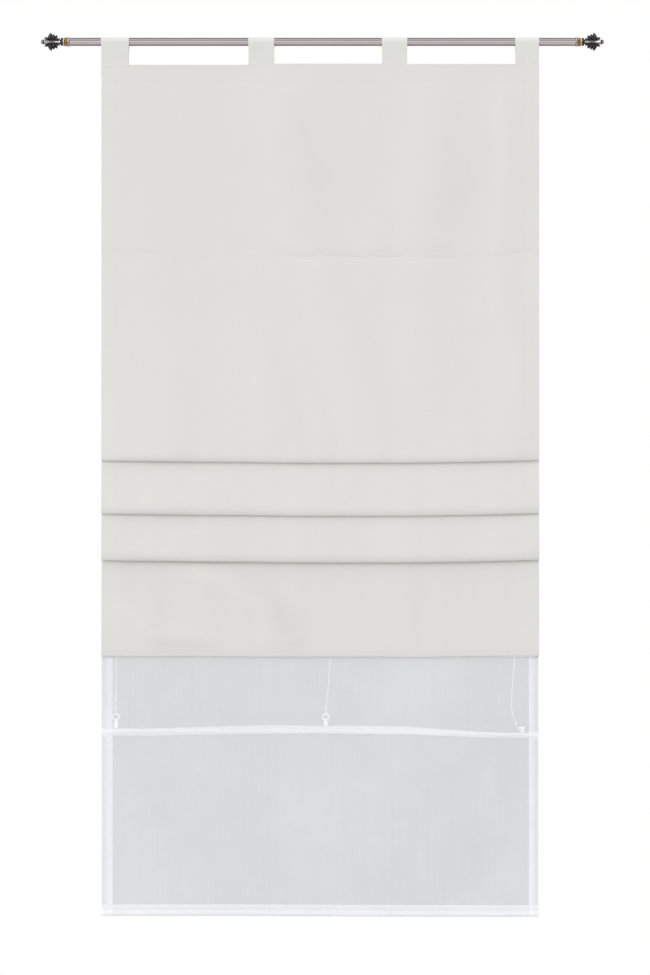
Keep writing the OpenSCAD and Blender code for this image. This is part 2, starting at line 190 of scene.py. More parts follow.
def put(tree, kind, inputs=None, **settings):
    """A node with its settings, and its inputs set or linked."""
    node = tree.nodes.new(kind)
    for key, value in settings.items():
        setattr(node, key, value)
    for key, value in (inputs or {}).items():
        link(value, node.inputs[key])
    return node


def field(tree, kind, inputs=None, output=0, **settings):
    """A new node's output, ready to reckon with."""
    return Field(put(tree, kind, inputs, **settings).outputs[output])


class Field:
    """A value over the surface: every sum, product or pattern made of it is one more node."""

    def __init__(self, socket):
        self.socket = socket
        self.tree = socket.id_data

    def maths(self, operation, other=0.0, clamp=False):
        return field(self.tree, "ShaderNodeMath", {0: self, 1: other}, operation=operation, use_clamp=clamp)

    def __add__(self, other):
        return self.maths("ADD", other)

    def __sub__(self, other):
        return self.maths("SUBTRACT", other)

    def __mul__(self, other):
        return self.maths("MULTIPLY", other)

    def or_more(self, other):
        return self.maths("MAXIMUM", other)

    def size(self):
        return self.maths("ABSOLUTE")

    def clamped(self):
        return self.maths("MULTIPLY", 1.0, True)

    def vector(self, operation, other=(0, 0, 0), output=0):
        return field(self.tree, "ShaderNodeVectorMath", {0: self, 1: other}, output, operation=operation)

    def axis(self, name):
        return field(self.tree, "ShaderNodeSeparateXYZ", {0: self}, name)

    def ramp(self, start, end, low=0.0, high=1.0, kind="LINEAR"):
        """From low at start to high at end, and no further."""
        ends = {"Value": self, "From Min": start, "From Max": end, "To Min": low, "To Max": high}
        return field(self.tree, "ShaderNodeMapRange", ends, interpolation_type=kind)

    def soft_ramp(self, start, end, low=0.0, high=1.0):
        return self.ramp(start, end, low, high, "SMOOTHSTEP")

    def mixed(self, a, b):
        """Colour a where the field is 0, and b where it is 1."""
        return field(self.tree, "ShaderNodeMix", {0: self, 6: a, 7: b}, 2, data_type="RGBA")

    def noise(self, scale, detail, stretch=None, roughness=0.5):
        """A cloudy pattern that reads this place, which may be stretched along its axes."""
        place = self
        if stretch:
            place = field(self.tree, "ShaderNodeMapping", {"Vector": self, "Scale": stretch})
        return field(self.tree, "ShaderNodeTexNoise", {"Vector": place, "Scale": scale, "Detail": detail,
                                                       "Roughness": roughness})

    def use(self, name, **inputs):
        """The outputs of a shared group that reads this place."""
        if name not in GROUPS:
            GROUPS[name] = GROUP_MAKERS[name]()
        node = put(self.tree, "ShaderNodeGroup", {"Vector": self, **inputs}, node_tree=GROUPS[name])
        return [Field(socket) for socket in node.outputs]

    def mottle(self, scale, low=0.35, high=0.65):
        return self.use("mottle", Scale=scale, Low=low, High=high)[0]


GROUPS = {}


def new_group(name, kind, outputs, **numbers):
    """A shader group that reads a place, or a geometry group that reads a mesh, with numbers to set.
    It gives the group's inputs as fields by their names, and the node that its results go to."""
    group = bpy.data.node_groups.new(name, kind + "NodeTree")
    main, result = ("Geometry", "Geometry") if kind == "Geometry" else ("Vector", "Float")
    group.interface.new_socket(name=main, in_out="INPUT", socket_type="NodeSocket" + main)
    for label, value in numbers.items():
        number = "NodeSocketInt" if isinstance(value, int) else "NodeSocketFloat"
        group.interface.new_socket(name=label, in_out="INPUT", socket_type=number).default_value = value
    for label in outputs:
        group.interface.new_socket(name=label, in_out="OUTPUT", socket_type="NodeSocket" + result)
    start = put(group, "NodeGroupInput").outputs
    return {label: Field(start[label]) for label in (main, *numbers)}, put(group, "NodeGroupOutput")


def weave_group():
    """Over-and-under threads of a plain weave in the X and Z plane, with slubs."""
    given, end = new_group("plain_weave", "Shader", ["Height", "Slub"], Pitch=0.0006)
    where, group = given["Vector"], end.id_data
    turns = field(group, "ShaderNodeMath", {0: math.pi, 1: given["Pitch"]}, operation="DIVIDE")
    waves = [(where.axis(name) * turns).maths("SINE") for name in ("X", "Z")]
    over = (waves[0] * waves[1]).maths("GREATER_THAN", 0.0)
    threads = {0: over, 2: waves[0].size(), 3: waves[1].size()}
    slubs = [where.noise(1.0, 2.0, stretch) for stretch in ((40, 40, 1400), (1400, 40, 40))]
    link(field(group, "ShaderNodeMix", threads, data_type="FLOAT"), end.inputs["Height"])
    link((slubs[0] + slubs[1]) * 0.5, end.inputs["Slub"])
    return group


def mottle_group():
    """Soft uneven patches from 0 to 1."""
    given, end = new_group("mottle", "Shader", ["Mask"], Scale=20.0, Low=0.35, High=0.65)
    patches = given["Vector"].noise(given["Scale"], 5.0, roughness=0.6)
    link(patches.soft_ramp(given["Low"], given["High"]), end.inputs["Mask"])
    return end.id_data


def streak_group():
    """Fine brush lines that run along X."""
    given, end = new_group("brush_lines", "Shader", ["Mask"], Along=6.0, Across=900.0)
    across = given["Across"]
    stretch = field(end.id_data, "ShaderNodeCombineXYZ", {"X": given["Along"], "Y": across, "Z": across})
    link(given["Vector"].vector("MULTIPLY", stretch).noise(1.0, 4.0), end.inputs["Mask"])
    return end.id_data


GROUP_MAKERS = {"weave": weave_group, "mottle": mottle_group, "streaks": streak_group}


def new_material(name, **sockets):
    """A material with plain shader values, and the place on the piece that its patterns read."""
    material = bpy.data.materials.new(name)
    material.use_nodes = True
    tree = material.node_tree
    for key, value in sockets.items():
        link(value, tree.nodes["Principled BSDF"].inputs[key.replace("_", " ")])
    return material, field(tree, "ShaderNodeTexCoord", output="Object")


def patterned(material, relief, strength, depth, **sockets):
    """The material with patterns for its shader's sockets, and a relief pressed into it."""
    tree = material.node_tree
    inputs = tree.nodes["Principled BSDF"].inputs
    for key, value in sockets.items():
        link(value, inputs[key.replace("_", " ")])
    bump = field(tree, "ShaderNodeBump", {"Height": relief, "Strength": strength, "Distance": depth})
    link(bump, inputs["Normal"])
    return material


# painted_glow is painted light: an emission that makes a part which is no lamp glow
def cloth_material(name, light, dark, pitch=0.7 * MM, hems=False, painted_glow=0.0, sheen=0.15):
    material, where = new_material(name, Roughness=0.88, Sheen_Weight=sheen, Sheen_Roughness=0.5,
                                   Specular_IOR_Level=0.25, Emission_Color=(1, 1, 1), Emission_Strength=painted_glow)
    threads, slub = where.use("weave", Pitch=pitch)
    share = slub * 0.85 + where.mottle(5.0, 0.3, 0.7) * 0.15
    if hems:
        # The panel is darker towards its foot
        share = share - where.axis("Z").ramp(-0.7, -1.0, 0.0, 0.6)
        for edge in (LEFT, RIGHT):
            inwards = math.copysign(1 * MM, MIDDLE - edge)
            share = share + where.axis("X").ramp(edge + 25 * inwards, edge + 23 * inwards, 0.0, 0.16)
    return patterned(material, threads + slub * 0.8, 0.25, 0.15 * MM,
                     Base_Color=share.clamped().mixed(dark, light))


def voile_material(name, light, dark, alpha_low, alpha_high, hems=False):
    material, where = new_material(name, Roughness=0.8, Sheen_Weight=0.1, Specular_IOR_Level=0.2)
    threads, slub = where.use("weave", Pitch=0.9 * MM)
    strands = where.noise(1.0, 3.0, (260, 40, 3))
    patches = where.mottle(4.0, 0.3, 0.7)
    share = strands * 0.2 + patches * 0.4 + 0.2
    across, height = where.axis("X"), where.axis("Z")
    if hems:
        puckers = where.noise(1.0, 2.0, (110, 40, 150))
        share = share * 0.4 + puckers * 0.75
        # The side hems are darker along their outer edges, and whiter where the lath pocket or the
        # bottom hem crosses them
        bottom = height.ramp(VOILE_HEM_TOP, VOILE_HEM_TOP - 1 * MM, 0.0, 0.7)
        sides = ((VOILE_LEFT, HEM_LEFT, 0.42, -1), (VOILE_RIGHT, HEM_RIGHT, 0.6, -7.6))
        for edge, hem, darker, level in sides:
            outwards = math.copysign(1 * MM, edge - MIDDLE)
            inner = edge - hem / MM * outwards
            from_pocket = (height - (VOILE_POCKET_Z + level * MM)).size()
            crossed = from_pocket.ramp(7.5 * MM, 6 * MM, 0.0, 0.8) + bottom
            share = share - across.ramp(edge - 9 * outwards, edge - 8 * outwards, 0.0, darker)
            share = share + across.ramp(inner, inner + outwards) * crossed
    else:
        # Painted shade and light: the single sheer darkens from left to right, and is painted lighter along
        # its top against the panel hem's shadow
        share = share - across.ramp(-0.25, 0.4, 0.0, 0.15) + height.ramp(-1.25, -1.2, 0.0, 0.2)
        # Low on the right a soft darker patch of painted shade lies over the sheer cloth's crease there,
        # where the cloth hangs away from the light
        away = where.vector("DISTANCE", (0.26, 0, -1.48), "Value") + where.noise(14.0, 3.0) * 0.1
        share = share - away.soft_ramp(0.14, 0.05, 0.0, 0.5)
    cover = threads * 0.4 + slub * 0.2 + strands * 0.1 + patches * 0.14 + 0.05
    return patterned(material, threads, 0.15, 0.1 * MM, Base_Color=share.clamped().mixed(dark, light),
                     Alpha=cover.ramp(0.25, 0.75, alpha_low, alpha_high))


def ring_material():
    """Silvery metal with fine lines round it."""
    material, where = new_material("ring_silver", Metallic=0.9)
    lines, = where.use("streaks", Along=60.0, Across=300.0)
    share = lines * 0.7 + where.mottle(60.0, 0.3, 0.7) * 0.3
    return patterned(material, lines, 0.2, 0.05 * MM, Roughness=share.ramp(0, 1, 0.22, 0.4),
                     Base_Color=share.mixed((0.3, 0.28, 0.34), (0.5, 0.47, 0.56)))


# The rod's bands of painted reflection, light and shade painted by height on the round rod: where each lies,
# as a share from the rod's top to its foot, and its tone
ROD_REFLECTION_BANDS = [(0.12, 0.08), (0.26, 0.41), (0.39, 0.22), (0.515, 0.64), (0.635, 0.45), (0.755, 0.65),
             (0.865, 0.32), (0.965, 0.3)]
REFLECTION_BAND_HALF = 0.035


def rod_material():
    """Pewter lacquer with painted reflection: grey and old-pink bands of painted light and shade by height
    round the rod, with brush lines along it.
    """
    material, where = new_material("rod_pewter", Metallic=0.25, Specular_IOR_Level=0.3)
    lines, = where.use("streaks", Along=5.0, Across=1100.0)
    broad, = where.use("streaks", Along=1.5, Across=260.0)
    painted_reflection = put(material.node_tree, "ShaderNodeValToRGB", {0: where.axis("Z").ramp(ROD_R, -ROD_R)})
    tones = [(at + side * REFLECTION_BAND_HALF, tone) for at, tone in ROD_REFLECTION_BANDS for side in (-1, 1)]
    stops = painted_reflection.color_ramp.elements
    while len(stops) < len(tones):
        stops.new(0.5)
    # Each band's tone is painted reflection, tinted pinker towards the rod's foot
    for stop, (at, tone) in zip(stops, tones):
        pink = 0.04 + 0.1 * at
        stop.position = at
        stop.color = (tone * 1.05, tone * (1 - pink), tone * (1.01 - pink), 1)
    grey = broad.mixed((0.28, 0.26, 0.265), (0.48, 0.45, 0.46))
    tinted = {0: 0.12, 6: painted_reflection.outputs[0], 7: grey}
    base = field(material.node_tree, "ShaderNodeMix", tinted, 2, data_type="RGBA")
    return patterned(material, lines, 0.25, 0.06 * MM, Roughness=lines.ramp(0, 1, 0.42, 0.6),
                     Base_Color=(lines * 0.14).mixed(base, (0.66, 0.62, 0.63)))


def from_axis(where):
    """How far a place lies from the rod's axis."""
    return where.vector("MULTIPLY", (0, 1, 1)).vector("LENGTH", output="Value")


def finial_material():
    """Blackened pewter, rubbed bright on its edges, its collar, its stem and its bud."""
    material, where = new_material("finial_pewter", Metallic=0.8)
    radius = from_axis(where)
    out = where.axis("X").size()

    def along(start, end, high=1.0):
        """Rises between two distances from the leaves' root, in millimetres."""
        root = BAND_END + LEAF_ROOT
        return out.soft_ramp(root + start * MM, root + end * MM, 0.0, high)

    waist = along(7, 12) * along(21, 17)
    stem = radius.soft_ramp(4.4 * MM, 3.3 * MM) * along(-1, 0) * (waist * -0.4 + 1.0)
    bell = radius.soft_ramp(6 * MM, 5 * MM) * along(22, 24)
    collar = out.soft_ramp(BAND_END + 2.3 * MM, BAND_END + 1.9 * MM)
    edge = field(material.node_tree, "ShaderNodeNewGeometry", output="Pointiness").ramp(0.52, 0.6, 0.0, 0.65)
    groove = along(28.6, 29.4) * along(32.4, 31.6, 0.85)
    shade = along(29, 35.5, -0.6) + 1.0
    dirt = where.mottle(380.0, 0.42, 0.6)
    bright = (stem.or_more(bell) * shade).or_more(collar).or_more(edge) - groove
    bright = bright.clamped() * (dirt * 0.35 + 0.65)
    tone = where.mottle(160.0).mixed((0.02, 0.017, 0.016), (0.085, 0.07, 0.064))
    return patterned(material, dirt, 0.3, 0.15 * MM, Base_Color=bright.mixed(tone, (0.8, 0.73, 0.75)),
                     Roughness=bright.ramp(0, 1, 0.5, 0.3))


def gold_material():
    """Antique gold with dark dirt between the beads."""
    material, where = new_material("band_gold", Metallic=0.9, Roughness=0.34)
    deep = from_axis(where).soft_ramp(7.6 * MM, 6.3 * MM)
    dirt = where.mottle(420.0, 0.45, 0.62)
    return patterned(material, dirt, 0.2, 0.1 * MM,
                     Base_Color=deep.or_more(dirt * 0.6).mixed((0.62, 0.36, 0.06), (0.06, 0.02, 0.006)))


# painted_glow is painted light: an emission that makes a part which is no lamp glow
def plastic_material(name, colour, roughness, painted_glow=0.0):
    material, where = new_material(name, Coat_Weight=0.3, Coat_Roughness=0.15, Emission_Color=(1, 1, 1),
                                   Emission_Strength=painted_glow)
    patches = where.mottle(250.0, 0.3, 0.75)
    darker = tuple(0.9 * c for c in colour)
    return patterned(material, patches, 0.08, 0.05 * MM, Base_Color=patches.mixed(colour, darker),
                     Roughness=patches.ramp(0, 1, roughness, roughness + 0.12))


# Mesh helpers
def new_piece(name, verts, faces, *materials, edges=()):
    """A smooth mesh object at the origin, its place in its mesh."""
    mesh = bpy.data.meshes.new(name)
    mesh.from_pydata([tuple(float(c) for c in v) for v in verts], edges, [tuple(f) for f in faces])
    mesh.validate()
    mesh.update()
    for material in materials:
        mesh.materials.append(material)
    mesh.shade_smooth()
    piece = bpy.data.objects.new(name, mesh)
    bpy.context.collection.objects.link(piece)
    return piece


def baked(piece):
    """The piece with its modifiers turned into plain mesh."""
    view = bpy.context.evaluated_depsgraph_get()
    view.update()
    mesh = bpy.data.meshes.new_from_object(piece.evaluated_get(view), depsgraph=view)
    piece.modifiers.clear()
    piece.data = mesh
    return piece


def settle(piece, body, slot, *nodes):
    """Puts a finished piece on its body and hides the solids that it stands for; its slot is not used."""
    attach(piece, body)
    if nodes:
        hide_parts(*nodes)
    return piece


def arc(cy, cz, r, a, b, n):
    """Points of an arc in Y and Z, from angle a to b in degrees."""
    angles = np.radians(np.linspace(a, b, n + 1))
    return [(cy + r * math.cos(t), cz + r * math.sin(t)) for t in angles]


def spaced(points, step):
    """The same way, whatever its points hold, with neighbours at most step apart in Y and Z."""
    out = [tuple(points[0])]
    for a, b in zip(points, points[1:]):
        n = max(1, math.ceil(math.dist(a[:2], b[:2]) / step))
        out += [tuple(p + (q - p) * k / n for p, q in zip(a, b)) for k in range(1, n + 1)]
    return out


def weighed(points, weight):
    return [(*p, weight) for p in points]


def lift(table, x):
    """A height difference at x, read off a few measured places in millimetres."""
    places, heights = np.array(table).T * MM
    return np.interp(x, places, heights)


def columns(edges, step):
    """Places across the cloth that hold every given edge and lie at most step apart, with a narrow
    column along both sides so that the cloth's own edge alone turns its shading."""
    narrow = 0.4 * MM
    edges = [edges[0], edges[0] + narrow, *edges[1:-1], edges[-1] - narrow, edges[-1]]
    out = [edges[0]]
    for a, b in zip(edges, edges[1:]):
        n = max(1, math.ceil((b - a) / step))
        out += [a + (b - a) * k / n for k in range(1, n + 1)]
    return np.array(out)


def carried(way, to, step):
    """The way, carried on to one more place with corners at most step apart."""
    return way + spaced([way[-1], to], step)[1:]


def hump(distance, width):
    """1 at no distance, and softly down to 0 beyond the width."""
    return np.exp(-(distance / width) ** 2)


def rise(distance, span):
    """From 0 to 1 over the span."""
    return np.clip(distance / span, 0, 1)


def grid_faces(rows, width, round_rows=False, round_width=False):
    """Faces between neighbours in a grid of corners, which may close on itself either way."""
    faces = []
    for i in range(rows if round_rows else rows - 1):
        for k in range(width if round_width else width - 1):
            here, there = i * width, (i + 1) % rows * width
            m = (k + 1) % width
            faces.append((here + k, here + m, there + m, there + k))
    return faces


def sheet_grid(way, across, shift=None):
    """Corners and faces of cloth that follows a way in Y and Z, at each place across it."""
    way = np.array(way)
    x, y = np.meshgrid(across, way[:, 0])
    z = np.repeat(way[:, 1:2], len(across), 1)
    if shift:
        weight = np.repeat(way[:, 2:3], len(across), 1) if way.shape[1] > 2 else np.zeros_like(x)
        x, y, z = shift(x, y, z, weight)
    return np.stack([x, y, z], -1).reshape(-1, 3), grid_faces(*x.shape)


def thicken(piece, thickness):
    solid = piece.modifiers.new("thickness", "SOLIDIFY")
    solid.thickness = thickness
    solid.offset = 0
    solid.use_even_offset = False
    return piece


def make_sheet(name, node, cloth, way, across, thickness, shift=None, body=ROOT):
    """A cloth that hangs along a way in Y and Z, as long as the way and as wide as its places across it."""
    piece = thicken(new_piece(name, *sheet_grid(way, across, shift), cloth), thickness)
    settle(piece, body, "opaque_cloth", node)
    return piece


def smooth_noise(x, z, seed, scale, count=7):
    """A soft rolling surface from a few long waves, between about -1 and 1."""
    draw = random.Random(seed)
    total = np.zeros_like(x)
    for _ in range(count):
        angle, size = draw.uniform(0, math.tau), draw.uniform(0.6, 1.8) / scale
        total += np.sin((x * math.cos(angle) + z * math.sin(angle)) * size * math.tau
                        + draw.uniform(0, math.tau))
    return total / math.sqrt(count)


# Creases of the opaque panel, in millimetres: a line of x, z places, then how far it stands out to the
# room and how wide it is on its left and on its right
CREASES = [
    ([(-76, -80), (-62, -140), (-34, -271), (-6, -388)], 4.4, 70, 40),
    ([(-16, -396), (28, -472), (60, -573), (104, -725)], 4.6, 60, 34),
    ([(200, -85), (202, -252), (190, -392)], 5.2, 56, 52),
    ([(176, -396), (176, -527), (190, -650)], 2.6, 60, 50),
    ([(-112, -552), (-84, -640), (-50, -735)], 4.2, 44, 30),
    ([(-44, -560), (-6, -690), (10, -745)], 1.6, 34, 16),
    ([(372, -80), (329, -271), (321, -463), (361, -582), (347, -715)], 2.2, 18, 36),
    ([(330, -84), (334, -190)], 2.6, 16, 20),
    ([(94, -320), (104, -396)], 2.2, 34, 20),
    ([(-262, -404), (-244, -420)], -1.8, 6, 9),
    ([(-256, -960), (-175, -990), (-96, -1040), (-70, -1090)], 8.5, 34, 26),
    ([(-366, -1040), (-300, -1085), (-200, -1100)], 5.5, 24, 16),
    ([(-330, -300), (-300, -620)], 1.4, 60, 90),
    ([(120, -975), (150, -1095)], 1.4, 60, 40),
]


def from_line(x, z, a, b):
    """The nearest share of the line from a to b, how far off it each place lies, and on which side."""
    d = np.subtract(b, a)
    near = np.clip(((x - a[0]) * d[0] + (z - a[1]) * d[1]) / (d @ d), 0, 1)
    dx, dz = x - a[0] - near * d[0], z - a[1] - near * d[1]
    return near, np.hypot(dx, dz), dz * d[0] - dx * d[1]


def crease_depth(x, z, creases=CREASES):
    """How far the creases stand out to the room at each place."""
    total = np.zeros_like(x)
    for points, depth, left, right in creases:
        best = np.full_like(x, 9.0)
        side = np.zeros_like(x)
        share = np.zeros_like(x)
        points = np.array(points) * MM
        for k, (a, b) in enumerate(zip(points, points[1:])):
            near, away, turned = from_line(x, z, a, b)
            closer = away < best
            best = np.where(closer, away, best)
            side = np.where(closer, turned, side)
            share = np.where(closer, (k + near) / (len(points) - 1), share)
        fade = np.sin(math.pi * (share * 0.86 + 0.07)) ** 0.6
        total += depth * MM * hump(best, np.where(side > 0, right, left) * MM) * fade
    return total


SEAM_Z = lath_at[0][2]
ROLL_HIGH = 13 * MM
ROLL_DEEP = 4.6 * MM
PANEL_STEP = 6.5 * MM
# Measured heights of the cloth's lines: x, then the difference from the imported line, in millimetres
PLEAT_LIFT = [(-400, 2), (-352, 1.3), (-260, 0.4), (-224, -0.2), (-151, -0.6), (-60, -2), (69, -2.1),
              (160, -1.9), (215, -1.2), (288, 0), (334, 1.3), (370, 2), (390, 2.7)]
HEAD_LIFT = [(-404, 0), (-150, -0.3), (-90, 2.1), (112, 2.1), (165, 1.5), (345, 1.5), (375, 2.1)]
HEM_LIFT = [(-400, 1.6), (-352, 0.6), (-224, 1.2), (-114, -0.1), (100, 0.1), (178, -0.8), (215, 0),
            (288, 1.1), (396, 2.2)]
SEAM_DEPTH = [(-404, 0.5), (-330, 0.5), (-300, 0.35), (-260, 0.12), (-100, 0.12), (-60, 0.7), (60, 0.9),
              (150, 0.6), (250, 0.25), (396, 0.3)]
SEAM_LIFT = [(-404, 8), (-356, 8), (-334, 9.5), (-300, 4.5), (-268, -2), (-213, -5), (-158, -3.5),
             (-92, 2.2), (-70, 0.5), (-48, -1.3), (237, -1.3), (259, 0.5), (303, 0.5), (325, 2.4),
             (347, 6), (368, 7.9), (396, 9.8)]


def panel_way():
    """The opaque panel's middle line: heading, three pleats over their laths, and the hem."""
    fold_y = PANEL_Y - FOLD_OUT
    band = 17 * MM
    way = [(PANEL_Y, HEAD_Z, 0), (PANEL_Y, HEAD_Z - 0.4 * MM, 0)]
    way = carried(way, (PANEL_Y, SEAM_Z + band, 0), PANEL_STEP)
    way = carried(way, (PANEL_Y, SEAM_Z - 6 * MM, 0), 1.2 * MM)
    for at in lath_at[1:]:
        foot = at[2] - TUCK + CLOTH_T / 2
        turn = np.radians(np.linspace(0, 90, 8))
        roll = [(fold_y + ROLL_DEEP * (1 - math.cos(t)), foot + ROLL_HIGH * (1 - math.sin(t))) for t in turn]
        roll += arc(fold_y + ROLL_DEEP, foot + 2 * MM, 2 * MM, 270, 360, 4)[1:]
        way = carried(way, (*roll[0], 1), PANEL_STEP) + weighed(roll[1:], 1)
        way = carried(way, (at[1] - TURN_R, at[2], 0), PANEL_STEP)
        way += weighed(arc(at[1], at[2], TURN_R, 180, 0, 8)[1:], 0)
    hem = arc(hem_lath_at[1], hem_lath_at[2], TURN_R, 180, 360, 10)
    way = carried(way, (*hem[0], 0), PANEL_STEP) + weighed(hem[1:], 0)
    return way + [(PANEL_Y - 2.4 * MM + CLOTH_T + 1 * MM, HEM_Z + PANEL_HEM_UP, 0)]


def panel_shift(x, y, z, weight):
    """Creases, the uneven heading, seam, pleats and hem, and the pleats' tacked ends."""
    inside = rise(HALF - np.abs(x - MIDDLE), 70 * MM)
    tack = 0.8 + 0.42 * inside * (2 - inside) + 0.35 * hump(x + 0.285, 0.055)
    y = np.where(y < PANEL_Y, PANEL_Y + (y - PANEL_Y) * (1 - weight * (1 - tack)), y)
    head = rise(z - HEAD_Z + 40 * MM, 40 * MM)
    hem = rise(HEM_Z - z + 60 * MM, 60 * MM)
    body = rise(HEAD_Z - z, 50 * MM) * rise(z - HEM_Z, 30 * MM)
    from_seam = z - SEAM_Z - lift(SEAM_LIFT, x)
    held = 1 - 0.3 * hump(z - SEAM_Z, 13 * MM)
    rolling = smooth_noise(x, z, 3, 0.42) * 0.45 * MM + smooth_noise(x, z, 5, 0.13) * 0.12 * MM - 0.7 * MM
    puckers = smooth_noise(x, z * 0.2, 8, 0.022) * 0.28 * MM * hump(from_seam, 8 * MM)
    groove = 0.5 * lift(SEAM_DEPTH, x) * hump(from_seam, 1.7 * MM)
    tucked = rise(-0.5 - z, 0.25) * smooth_noise(x, z * 0.3, 9, 0.09) * 0.5 * MM
    y = y + (rolling - crease_depth(x, z) + tucked) * body * held + puckers + groove
    z = z + lift(PLEAT_LIFT, x) * weight + lift(HEAD_LIFT, x) * head + lift(HEM_LIFT, x) * hem
    return x, y, z


def make_panel(cloth):
    across = columns([LEFT, LEFT + PANEL_SIDE_HEM, RIGHT - PANEL_SIDE_HEM, RIGHT], 7.5 * MM)
    piece = make_sheet("opaque_cloth", "opaque_panel", cloth, panel_way(), across, CLOTH_T,
                       panel_shift)
    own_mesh(piece)


VOILE_LEFT, VOILE_RIGHT = voile_low[0] - 1.7 * MM, voile_high[0] + 0.8 * MM
HEM_LEFT, HEM_RIGHT = 20 * MM, 17.4 * MM
VOILE_POCKET = 16.6 * MM
VOILE_HEM_TOP = voile_low[2] + 21.2 * MM
VOILE_POCKET_Z = voile_lath_at[2]
LATH_R = half_height("voile_lath")
# The lath lies this far back from the voile's front layer, so that the pocket stays flat in front
LATH_BACK = 1.2 * MM
BAR_R = half_height("weight_bar")
# The lath pocket's upper and lower edge, from the voile lath's height
POCKET_TOP = [(-404, 5.6), (-361, 5.8), (-334, 5.4), (-297, 6.1), (-224, 8.4), (-151, 10.9), (-78, 11.9),
              (-4, 10.4), (32, 10.9), (105, 10.3), (142, 9.7), (178, 7.8), (215, 4.9), (252, 2.4),
              (288, -0.4), (325, -2), (396, -2.8)]
POCKET_FOOT = [(-404, -7.6), (-334, -8), (-297, -7.9), (-224, -6.4), (-151, -5.4), (-78, -4.8), (-4, -4.6),
               (69, -5.6), (142, -6.5), (178, -7.1), (215, -8.8), (252, -9.6), (288, -11.8), (325, -12),
               (396, -12.4)]
LATH_LIFT = [(-404, -1.5), (-297, -1), (-4, -0.5), (150, -2.4), (250, -5), (325, -6.8), (396, -7.8)]
BAR_LIFT = [(-404, 0), (-150, -0.1), (70, -1.2), (142, -1.4), (325, -1.9), (396, -1.7)]
VOILE_CREASES = [
    ([(306, -1270), (312, -1330), (318, -1385)], 3.6, 9, 20),
    ([(-236, -1545), (-226, -1580)], 1.2, 7, 10),
    ([(200, -1455), (290, -1465)], 4.0, 50, 60),
    ([(-390, -1130), (-300, -1150)], 1.0, 16, 20),
    ([(-100, -1300), (-60, -1560)], -1.2, 40, 60),
    ([(120, -1290), (90, -1540)], 1.2, 50, 50),
]


def voile_shift(x, y, z, side):
    """Creases, the bowed lath pocket with its bulge, and the lower edge's slope; side is -1 for the
    front layer, 1 for the pocket's back."""
    body = rise(z - VOILE_HEM_TOP, 40 * MM) * rise(voile_high[2] - z, 50 * MM)
    half = VOILE_POCKET / 2
    share = (z - VOILE_POCKET_Z) / half
    up = (np.clip(share, -1, 1) + 1) / 2
    near = hump(np.maximum(np.abs(share) - 1, 0) * half, 55 * MM)
    low = rise(voile_low[2] + 0.1 - z, 0.1)
    z = z + near * (up * (lift(POCKET_TOP, x) - half) + (1 - up) * (lift(POCKET_FOOT, x) + half))
    z = z + low * lift(BAR_LIFT, x)
    rolling = smooth_noise(x, z, 11, 0.3) * 0.5 * MM + smooth_noise(x, z * 0.15, 12, 0.05) * 0.12 * MM
    out = np.where(side < 0, LATH_R - LATH_BACK, LATH_R + LATH_BACK) + 0.3 * MM
    from_lath = np.abs(z - VOILE_POCKET_Z - lift(LATH_LIFT, x)) / (LATH_R + 1.4 * MM)
    bulge = out * np.exp(-from_lath ** 3) * np.clip((1.05 - np.abs(share)) * 4, 0, 1)
    y = y + (rolling - crease_depth(x, z, VOILE_CREASES)) * body * (1 - near) + side * bulge
    return x, y, z


def voile_ways():
    """The voile's flat front layer, its hem turned round the bar, and the back of its lath pocket."""
    band = 13 * MM
    shut = bar_at[2] + BAR_R + 3 * MM
    flat = [(VOILE_Y, voile_high[2], -1)]
    for z, step in ((VOILE_POCKET_Z + band, 8), (VOILE_POCKET_Z - band, 1.3), (VOILE_HEM_TOP, 8)):
        flat = carried(flat, (VOILE_Y, z, -1), step * MM)
    hem = carried(flat[-1:], (VOILE_Y, shut + 5 * MM, -1), 3 * MM)
    hem += [(VOILE_Y + 0.4 * MM, shut + 2 * MM, -1), (VOILE_Y + 1 * MM, shut, -1)]
    hem += weighed(arc(bar_at[1], bar_at[2], BAR_R + 0.4 * MM, 125, 415, 16), -1)
    hem += [(VOILE_Y + 0.75 * MM, shut, -1), (VOILE_Y + 0.75 * MM, VOILE_HEM_TOP, -1)]
    half = VOILE_POCKET / 2
    back_y = VOILE_Y + 0.5 * MM
    back = spaced([(back_y, VOILE_POCKET_Z + half, 1), (back_y, VOILE_POCKET_Z - half, 1)], 1.3 * MM)
    return flat, hem, back


def make_voile(single, doubled):
    flat, hem, back = voile_ways()
    edges = [VOILE_LEFT, VOILE_LEFT + HEM_LEFT, VOILE_RIGHT - HEM_RIGHT, VOILE_RIGHT]
    across = columns(edges, 8.5 * MM)
    front = flat + hem[1:]
    main = sheet_grid(front, across, voile_shift)
    heights = [(a[1] + b[1]) / 2 for a, b in zip(front, front[1:])]
    pocket = [abs(z - VOILE_POCKET_Z) < VOILE_POCKET / 2 for z in heights]
    edged = [b < edges[1] + 1 * MM or a > edges[2] - 1 * MM for a, b in zip(across, across[1:])]
    folded = [side or pocket[i] or i > len(flat) - 2 for i in range(len(heights)) for side in edged]
    turned = [(y + 0.5 * MM, z, w) for y, z, w in flat]
    strips = [sheet_grid(turned, np.linspace(a, b, 4), voile_shift)
              for a, b in ((edges[0] + 0.4 * MM, edges[1]), (edges[2], edges[3] - 0.4 * MM))]
    verts, faces = joined([main, sheet_grid(back, across, voile_shift), *strips])
    piece = new_piece("voile_cloth", verts, faces, single, doubled)
    folded += [True] * (len(faces) - len(folded))
    piece.data.polygons.foreach_set("material_index", [int(f) for f in folded])
    thicken(piece, VOILE_T)
    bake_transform(piece)
    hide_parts("voile_panel")


